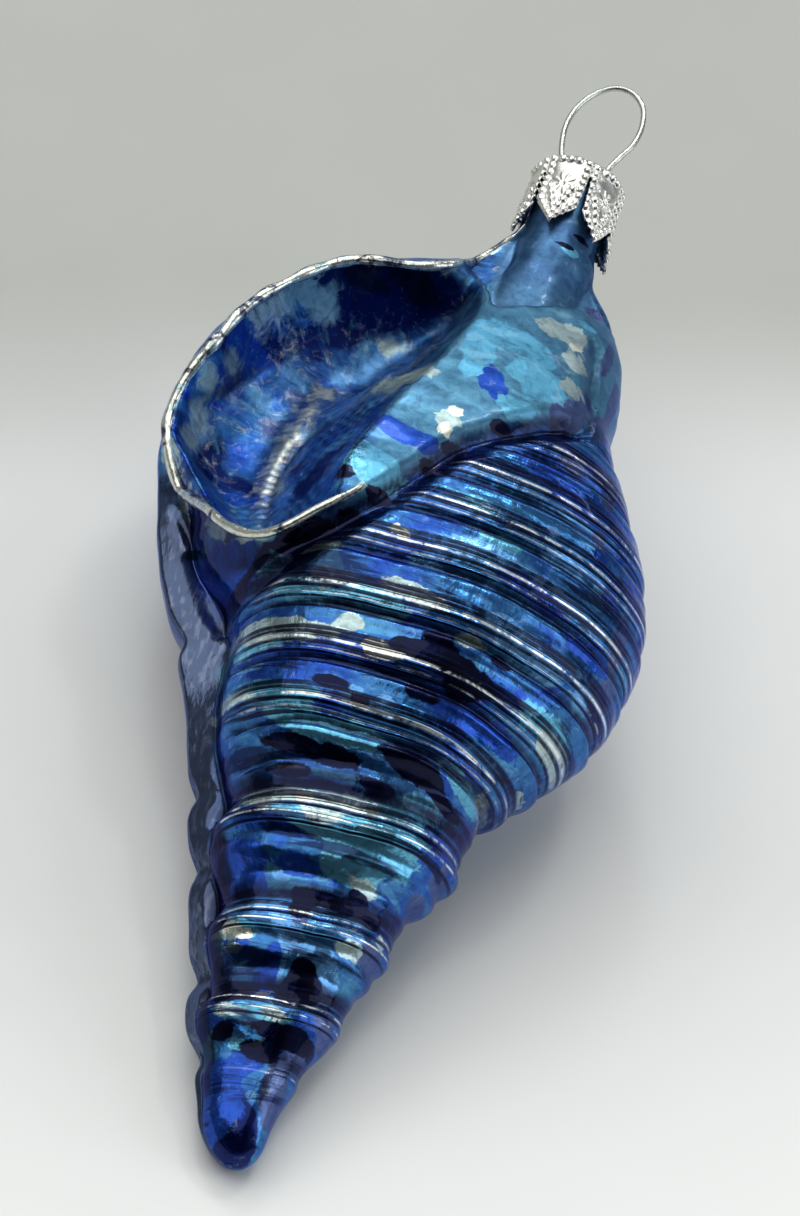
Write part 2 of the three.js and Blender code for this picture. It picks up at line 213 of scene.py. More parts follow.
# The mouth: its rim, the pad's edge, the floor as across, along and height, and the folds in the floor
mouth = {
    "rim": [
        [-4.3, 124.4], [-5.0, 122.6], [-6.0, 120.6], [-7.1, 118.6], [-8.3, 116.6], [-9.6, 114.2],
        [-11.4, 111.7], [-14.1, 110.2], [-18.7, 109.5], [-21.1, 109.2], [-23.2, 108], [-25.4, 105.8],
        [-27.7, 102.8], [-29.7, 99.8], [-31.3, 96.3], [-32.2, 93], [-33, 90.6], [-33.7, 88.8], [-34.3, 86.6],
        [-34.6, 83.6], [-34.4, 81.1], [-33.6, 78.8], [-32.3, 76.6], [-30.7, 74.4], [-28.9, 72.2],
        [-26.5, 69.2], [-24.4, 66.9], [-22.1, 65.5], [-20.1, 65], [-18.4, 65.4], [-16.9, 66.5], [-15.4, 68],
        [-13.9, 69.5], [-12.4, 71.1], [-11.2, 72.7],
    ],
    "padEdge": [
        [-13.4, 71.4], [-13.9, 75], [-13.2, 79], [-11.8, 83.5], [-10.3, 88], [-8.2, 93.4], [-6.8, 98.4],
        [-5.8, 102.6], [-5.6, 106.4], [-6.0, 109.5], [-6.1, 112],
    ],
    "beadRadius": 0.68, "beadSteps": 260, "beadSides": 14,
    "lipHeight": 0.35, "lipWidth": 0.9, "wallWidth": 5.0, "fluteHeight": 0.2, "pleatHeight": 0.08,
    "floor": [
        [-32, 90, 0.2], [-31.4, 83.5, -0.3], [-29.6, 76.6, 0.8], [-26.4, 72.4, 3.0], [-22.2, 69.8, 5.0],
        [-18.6, 69.6, 7.5], [-29.4, 96, -0.8], [-25.6, 100.6, -2.0], [-21, 104, -2.8], [-15, 106, -3.0],
        [-10, 108.4, -1.2], [-27.4, 85, -1.8], [-27, 92, -1.6], [-24.6, 78, -0.2], [-22, 75, 2.2],
        [-23, 96, -2.8], [-18, 100, -4.2], [-14, 102.6, -4.2], [-20.8, 90, -1.2], [-20, 83, 1.0],
        [-17.2, 95.4, -3.2], [-13.8, 98.2, -2.4], [-18.2, 77, 6.0], [-16.3, 77.5, 10.2], [-14.6, 78, 14.0],
        [-17.2, 84.6, 5.6], [-15.0, 85.4, 9.4], [-12.6, 85.6, 13.0], [-15.2, 90, 7.0], [-12.9, 93, 9.2],
        [-9.9, 98.6, 8.6], [-7.5, 103, 7.8], [-5.9, 108.2, 5.6], [-9.9, 91.6, 12.4], [-7.1, 97.4, 11.2],
        [-5.2, 102.4, 9.8], [-12.2, 97.4, 1.4], [-9.8, 102.4, 0.2], [-7.8, 107, 0.6],
    ],
    "folds": [
        {"curve": [[-33.4, 84.5], [-31.7, 87], [-29.9, 89.4], [-28.4, 92.4], [-26.6, 96]],
         "height": -0.5, "width": 0.8},
        {"curve": [[-20.7, 72], [-21.3, 77], [-21.5, 82], [-21, 87.4], [-19.9, 93.2], [-17.5, 97.6]],
         "height": 0.9, "width": 1.2},
        {"curve": [[-20, 71], [-20.4, 75], [-20.7, 80], [-19.7, 85], [-17.6, 87.6], [-15.4, 89]],
         "height": -0.9, "width": 0.8},
        {"curve": [[-16.2, 87.4], [-13.1, 93], [-10.0, 98.6], [-6.2, 108]], "height": 0.9, "width": 0.9},
        {"curve": [[-13.8, 89.2], [-11.4, 94.2], [-8.6, 99.2], [-5.4, 106.6]], "height": -0.5, "width": 0.5},
    ],
}

# The creases about the pad and the web's hollow: each one's curve, depth, width and how dark its painted shade
# is
creases = [
    {"curve": [
        [-20.1, 57.6], [-17.9, 61.4], [-15.3, 64], [-13.2, 66.6], [-10.2, 70.2], [-8.2, 72.9], [-6.3, 76.3],
        [-4.2, 80], [-2.4, 82.9], [0.7, 86.1], [3.8, 88.8], [6.8, 91.3], [10.2, 93.8], [14, 96.4],
    ], "depth": 2.0, "width": 1.5, "dark": 1.0},
    {"curve": [
        [-31, 73.6], [-28.4, 70.4], [-25.4, 67], [-22.6, 64.5], [-20.4, 63.6], [-18.2, 63.9], [-15.7, 65.6],
        [-13.2, 68],
    ], "depth": 1.5, "width": 1.0, "dark": 1.0},
    {"curve": [[7.8, 108.6], [8.6, 102], [9.8, 96.3], [8.2, 91]], "depth": 0.8, "width": 0.9, "dark": 0.4},
    {"curve": [[-27.5, 67.5], [-24.5, 63.8], [-21.6, 60.4], [-19.6, 58]],
     "depth": 1.6, "width": 1.8, "dark": 0.3},
    {"curve": [[-6.2, 109.6], [-3, 108.7], [0, 110.1], [2.6, 111.6], [5, 112.8], [8, 113.2]],
     "depth": 0.5, "width": 0.4, "dark": 0.8},
]


def sutureHeight(n):
    return n * n + glass["sutureRise"] * n + glass["sutureStart"]


def turnAt(along):
    inside = np.maximum(glass["sutureRise"]**2 + 4 * (along - glass["sutureStart"]), 0.01)
    return (np.sqrt(inside) - glass["sutureRise"]) / 2


def turnShare(angle):
    return (angle + math.pi / 2) / (2 * math.pi)


def returningShare(angle):
    # The share of a turn, which runs back to nothing over the last of the back
    share = turnShare(angle)
    return np.minimum(share, 0.92 * (1 - share) / 0.08)


def necked(across, along, height):
    # Past the pad's top edge the front drops to its shoulders, with the neck's round tube between them
    edge = np.interp(across, *np.array(glass["neckEdge"]).T)
    left = mix(*glass["neckLeft"], smooth(along, *glass["neckLength"]))
    wider = np.where(across > 0, glass["neckRight"], left) * (1 - smooth(along, *glass["neckEnd"]))
    tube = lie["neckRadius"] * np.sqrt(np.clip(1 - (across / (lie["neckRadius"] + wider))**2, 0, None))
    shoulder = np.maximum(glass["shoulderShare"] * height, 0)
    return mix(height, np.maximum(tube, shoulder), smooth(along - edge, -0.3, 1.2))


def plainSection(angle, along):
    # Quarter ellipses at each place along the axis; the front's left quarter ends in a step, the back leans
    # to the left, and the neck's tube stands on the front
    rounding = np.sqrt(np.clip(1 - (1 - np.clip(along / glass["tipRounding"], 0, 1))**2, 0, 1))
    widths = through(glass["profile"], along) * rounding[..., None]
    left, right, front, back, step = (widths[..., k] for k in range(5))
    step = np.maximum(step, 0)
    sine, cosine = np.sin(angle), np.cos(angle)
    present = np.minimum(step / 1.5, 1)
    share = glass["ledgeTurn"] * present
    foot = np.minimum(glass["ledgeFoot"], 0.3 * front) * present
    wallEnd = math.pi / 2 - share
    turned = np.clip(np.clip(-angle, 0, None) * (math.pi / 2) / wallEnd, 0, math.pi / 2)
    square = mix(1, 0.8, present)
    leftAcross = (step - left) * np.sin(turned)**square
    leftHeight = foot + (front - foot) * np.clip(np.cos(turned), 0, 1)**square
    onStep = -angle > wallEnd
    t = np.clip((-angle - wallEnd) / np.maximum(share, 1e-6), 0, 1)
    leftAcross = np.where(onStep, mix(step - left, -left, t), leftAcross)
    leftHeight = np.where(onStep, mix(foot, 0, t), leftHeight)
    across = sine * np.where(sine > 0, right, left)
    lowest = glass["lowestAcross"] * smooth(along, 10, 80) * (1 - smooth(along, 95, 118))
    aside = across - lowest
    reach = np.where(aside > 0, aside / (right - lowest), aside / (left + lowest))
    backHeight = -back * np.sqrt(np.clip(1 - reach**2, 0, 1))
    onFront = cosine > -1e-9
    frontLeft = onFront & (sine < 0)
    across = np.where(frontLeft, leftAcross, across)
    height = np.where(frontLeft, leftHeight, front * cosine)
    return across, np.where(onFront, necked(across, along, height), backHeight)


def frontHeight(across, along):
    # Height of the plain front over a place, which is the front's quarter ellipses read the other way round
    left, right, front, back, step = (through(glass["profile"], along)[..., k] for k in range(5))
    step = np.maximum(step, 0)
    present = np.minimum(step / 1.5, 1)
    foot = np.minimum(glass["ledgeFoot"], 0.3 * front) * present
    square = mix(1, 0.8, present)
    turned = np.arcsin(np.clip(-across / (left - step), 0, 1)**(1 / square))
    leftHeight = foot + (front - foot) * np.clip(np.cos(turned), 0, 1)**square
    rightHeight = front * np.sqrt(np.clip(1 - (across / right)**2, 0, 1))
    return necked(across, along, np.where(across < 0, leftHeight, rightHeight))


def whorlRelief(angle, along, across, radius):
    # Depth below the plain section: the suture's groove rising to the keel, fine threads, and the body's
    # ribs, which are flattened half ellipses between sharp grooves with a thin cord above each; the left
    # flank has long scallops instead
    share = turnShare(angle)
    turns = turnAt(along) - share
    p = turns - np.floor(turns)
    keel = glass["keel"]
    onFront = np.cos(angle) > 0
    rise = np.where(p < keel, 1 - smooth(p, 0.02, keel - 0.08), smooth(p, keel + 0.04, 1))
    spire = np.where(turns > glass["lastSuture"] + keel, 0, rise) * smooth(along, 6, 12)
    threads = 0.5 - 0.5 * np.cos(2 * math.pi * glass["threadsPerWhorl"] * (p - keel))
    threads = threads**1.5 * smooth(along, 14, 24) * (1 - smooth(turns, 4.4, 4.75)) * smooth(p, 0.04, 0.16)
    threads = threads * (1 - smooth(p, 0.8, 0.95)) * smooth(angle, -1.3, -0.9)
    whorl = radius * (glass["grooveShare"] * spire + glass["threadShare"] * threads)
    crease = np.interp(across, *np.array(creases[0]["curve"]).T)
    phase = (along - glass["ribStart"]) / glass["ribPitch"] - share + 0.04 * wobble(across, along, 16, 4)
    t = 2 * (phase + 0.5 - np.floor(phase + 0.5)) - 1
    lobe = 1 - np.sqrt(1 - 0.97 * np.abs(t)**2.4)
    below = np.where(onFront, smooth(crease - along, 0.3, 2.6), 1 - smooth(along, 96, 103))
    side = np.clip(1 - smooth(angle, 1.9, 2.6), 0, 1) * smooth(angle, -1.2, -0.92)
    onBody = below * side * smooth(turns, glass["lastSuture"] + 0.1, glass["lastSuture"] + 0.35)
    cord = np.exp(-(((t - glass["cordPlace"]) / glass["cordWidth"])**2))
    ribs = np.maximum(glass["ribHeight"] * lobe - glass["cordHeight"] * cord, 0) * onBody
    flank = np.where(onFront, 1 - smooth(angle, -math.pi / 2 + 0.16, -math.pi / 2 + 0.24),
                     smooth(angle, 1.5 * math.pi - 1.1, 1.5 * math.pi - 0.4)) * (1 - smooth(along, 70, 80))
    notches = np.zeros_like(along)
    for notch in glass["flankNotches"]:
        notches = notches + glass["flankDepth"] * np.exp(-(((along - notch) / glass["flankWidth"])**2))
    depth = mix(whorl + ribs, notches * smooth(along, 6, 10), flank)
    # Where painted shade darkens the grooves between the ribs and the sutures
    groove = np.clip(smooth(np.abs(t), 0.80, 0.97) * onBody + smooth(spire, 0.75, 1.0), 0, 1) * (1 - flank)
    onPad = smooth(along - crease, 0.5, 2.5) * onFront * (1 - smooth(along, 112, 118))
    onPad = onPad * smooth(across, -14, -11)
    onSpire = smooth(along, 8, 14) * (1 - smooth(turns - glass["lastSuture"], 0.25, 0.5))
    marks = {"groove": groove, "flank": flank, "rib": onBody, "spire": onSpire * (1 - flank) * (1 - onBody)}
    edge = np.interp(across, *np.array(glass["neckEdge"]).T)
    onNeck = onFront * smooth(along - edge, 0.3, 1.5)
    onNeck = onNeck * smooth(across, -7, -5.4) * (1 - smooth(across, 5.6, 7))
    inner = mix(0.90, 1.20, smooth(along, 30, 42)) + 0.06 * wobble(along, across, 8, 31)
    shaded = smooth(-angle, inner, inner + 0.12) * (1 - flank)
    shaded = shaded * smooth(along, 3, 8) * (1 - smooth(along, 60, 66))
    marks.update({"pad": onPad, "neck": onNeck, "shaded": np.where(onFront, shaded, 0)})
    marks.update({"ribPhase": phase, "spirePhase": turns})
    return depth, marks


def mouthSurface(across, along):
    # Thin-plate surface through the mouth's heights: it bends least of all surfaces that pass them
    known = np.array(mouth["floor"])

    def kernel(x, y):
        square = (x[:, None, 0] - y[None, :, 0])**2 + (x[:, None, 1] - y[None, :, 1])**2
        return 0.5 * square * np.log(square + 1e-9)

    place = known[:, :2]
    count = len(place)
    plane = np.column_stack([np.ones(count), place])
    system = np.zeros((count + 3, count + 3))
    system[:count, :count] = kernel(place, place) + 1.5 * np.eye(count)
    system[:count, count:] = plane
    system[count:, :count] = plane.T
    weights = np.linalg.solve(system, np.concatenate([known[:, 2], np.zeros(3)]))
    asked = np.column_stack([across.ravel(), along.ravel()])
    found = kernel(asked, place) @ weights[:count] + weights[count] + asked @ weights[count + 1:]
    return found.reshape(across.shape)


def carveFront(across, along, height, onFront):
    # Lowers the mouth between its rim and the pad's edge to its floor, with folds, flutes and pleats that are
    # bell curves and sine waves, lifts the lip beside the rim, and presses in the creases. It also gives masks
    # of painted shade in the creases and sunken folds, of dark stripes on the flutes and pleats, and of painted
    # highlights on the raised folds' crests
    rim = curvePoints(mouth["rim"], 110)
    padEdge = curvePoints(mouth["padEdge"], 30)
    outline = np.vstack([rim, padEdge])
    near = onFront & (across < 14.5) & (along > 52) & (along < 121)
    u, a, w = across[near], along[near], height[near]
    inside = insideOf(u, a, outline)
    toRim, _ = nearness(u, a, rim)
    toPad, _ = nearness(u, a, padEdge)
    fromEdge = np.clip((np.minimum(toRim, toPad * 1.6) - 0.2) / mouth["wallWidth"], 0, 1)
    deep = (1 - (1 - fromEdge)**2.4) * inside
    carved = mix(w, np.minimum(mouthSurface(u, a), w), deep)
    # Masks for painted light on the floor: painted highlights on the raised folds' crests, painted shade in the
    # sunken folds, and dark stripes on the flutes and pleats
    crests, folds = np.zeros_like(u), np.zeros_like(u)
    for fold in mouth["folds"]:
        gap, share = nearness(u, a, curvePoints(fold["curve"], 30))
        fade = np.sin(math.pi * np.clip(share, 0.03, 0.97))**0.5 * deep
        carved = carved + fold["height"] * np.exp(-((gap / fold["width"])**2)) * fade
        if fold["height"] > 0:
            crests = np.maximum(crests, np.exp(-((gap / fold["width"])**2)) * fade)
        else:
            folds = np.maximum(folds, np.exp(-((gap / (0.6 * fold["width"]))**2)) * fade)
    flutes = np.sin(7.0 * (0.86 * u + 0.5 * a) + 0.9 * wobble(u, a, 5, 8)) * (1 - smooth(a, 84, 92))
    flutes = flutes * smooth(u, -19.5, -17.5) * (1 - smooth(u, -12, -10.5))
    carved = carved + mouth["fluteHeight"] * flutes * deep
    folds = np.maximum(folds, 0.9 * smooth(flutes, 0.0, 0.6) * deep)
    pleats = np.sin(5.5 * a + 1.5 * wobble(u, a, 4, 6)) * np.exp(-(((u + 21.5) / 1.8)**2)) * smooth(a, 70, 74)
    carved = carved + mouth["pleatHeight"] * pleats * deep * (1 - smooth(a, 88, 92))
    folds = np.maximum(folds, 0.45 * smooth(pleats, 0.1, 0.8) * deep)
    lip = mouth["lipHeight"] * np.exp(-((toRim / mouth["lipWidth"])**2)) * smooth(w, -0.4, 1.0)
    carved = carved + lip
    # Painted shade in each crease, as strong as the crease's dark value
    creaseShade = np.zeros_like(u)
    for crease in creases:
        gap, share = nearness(u, a, curvePoints(crease["curve"], 40))
        fade = smooth(share, 0, 0.08) * (1 - smooth(share, 0.86, 1))
        fade = fade * (1 - deep) * smooth(w, 0, 3)
        carved = carved - crease["depth"] * np.exp(-((gap / crease["width"])**2)) * fade
        dark = np.exp(-((gap / (1.25 * crease["width"]))**4)) * fade
        creaseShade = np.maximum(creaseShade, dark * crease["dark"])
    height = height.copy()
    height[near] = carved
    onRim = np.exp(-((toRim / 0.8)**2))
    found = {"deep": deep, "creaseShade": creaseShade, "rim": onRim, "ridgeHighlight": crests, "fold": folds}
    marks = {name: np.zeros(across.shape) for name in found}
    for name, mark in found.items():
        marks[name][near] = mark
    return height, marks


def floorLine(along):
    # Height of the table under the shell, in the shell's own frame
    return -(lie["lift"] + along * math.sin(lie["tilt"])) / math.cos(lie["tilt"])


def glassGrid():
    # Rows from the tip to the neck's rim, following the winding, and columns closer together on the front
    nose = glass["tipRounding"] * (1 - np.cos(np.linspace(0.08, math.pi / 2, glass["noseRows"])))
    low, high = glass["fineRows"]
    span = np.linspace(glass["tipRounding"], lie["neckRim"], 2000)
    weight = np.interp(span, [low - 4, low, high, high + 4], [1, 1.9, 1.9, 1])
    place = np.cumsum(weight) / weight.sum()
    plain = np.interp(np.linspace(place[0], 1, glass["rows"] - glass["noseRows"] + 1)[1:], place, span)
    rows = np.concatenate([nose, plain])
    front = np.linspace(-math.pi / 2, math.pi / 2, glass["frontColumns"], endpoint=False)
    back = np.linspace(math.pi / 2, 1.5 * math.pi, glass["backColumns"], endpoint=False)
    angle, row = np.meshgrid(np.concatenate([front, back]), rows)
    shift = returningShare(angle) - 0.5
    spire = mix(row, sutureHeight(np.maximum(turnAt(row) + shift, 0)), smooth(row, 7, 13))
    body = mix(row + glass["ribPitch"] * shift, row, smooth(row, 95, 106))
    return angle, mix(spire, body, smooth(row, 46, 57))


def glassShell():
    # The section at each row, drawn in towards the axis by the relief, with the mouth carved in and the
    # underside flattened on the table; the neck's bore closes the end
    angle, along = glassGrid()
    along = along + glass["tipShift"] * (1 - smooth(along, 0, 4))
    across, height = plainSection(angle, along)
    radius = np.hypot(across, height)
    depth, relief = whorlRelief(angle, along, across, radius)
    plainEnds = smooth(along, 8, 20) * (1 - smooth(along, 116, 121))
    uneven = glass["unevenness"] * (1 + wobble(across, along * 1.6, 9, 5))
    ripple = glass["ripple"] * (1 + wobble(across, along * 1.3, 2.4, 6))
    uneven = uneven + ripple * np.where(np.cos(angle) > 0, 1, 0)
    depth = depth + uneven * plainEnds
    scale = np.where(radius > 0.5, 1 - depth / np.maximum(radius, 0.5), 1)
    across, height = across * scale, height * scale
    height, marks = carveFront(across, along, height, np.cos(angle) > 0.02)
    height = np.maximum(height, floorLine(along))
    marks.update(relief)
    count = angle.shape[1]
    size, place = np.array(glass["neckBore"]).T
    across = np.vstack([across, size[:, None] * np.sin(angle[-1])])
    along = np.vstack([along, np.repeat(place[:, None], count, axis=1)])
    height = np.vstack([height, size[:, None] * np.cos(angle[-1])])
    points = toFrame(across, along, height).reshape(-1, 3)
    rowCount = across.shape[0]
    tip = toFrame(np.array([0.0]), np.array([glass["tipShift"]]), np.array([0.0]))
    end = toFrame(np.array([0.0]), place[-1:], np.array([0.0]))
    j = np.arange(count)
    k = (j + 1) % count
    top = (rowCount - 1) * count
    first = np.column_stack([np.full(count, len(points)), k, j])
    last = np.column_stack([np.full(count, len(points) + 1), top + j, top + k])
    faces = gridFaces(rowCount, count)[:, ::-1].tolist() + first.tolist() + last.tolist()
    piece = makeMesh("shellOfGlass", np.vstack([points, tip, end]), faces)
    paintShell(piece, angle, across, along, height, marks)
    return piece


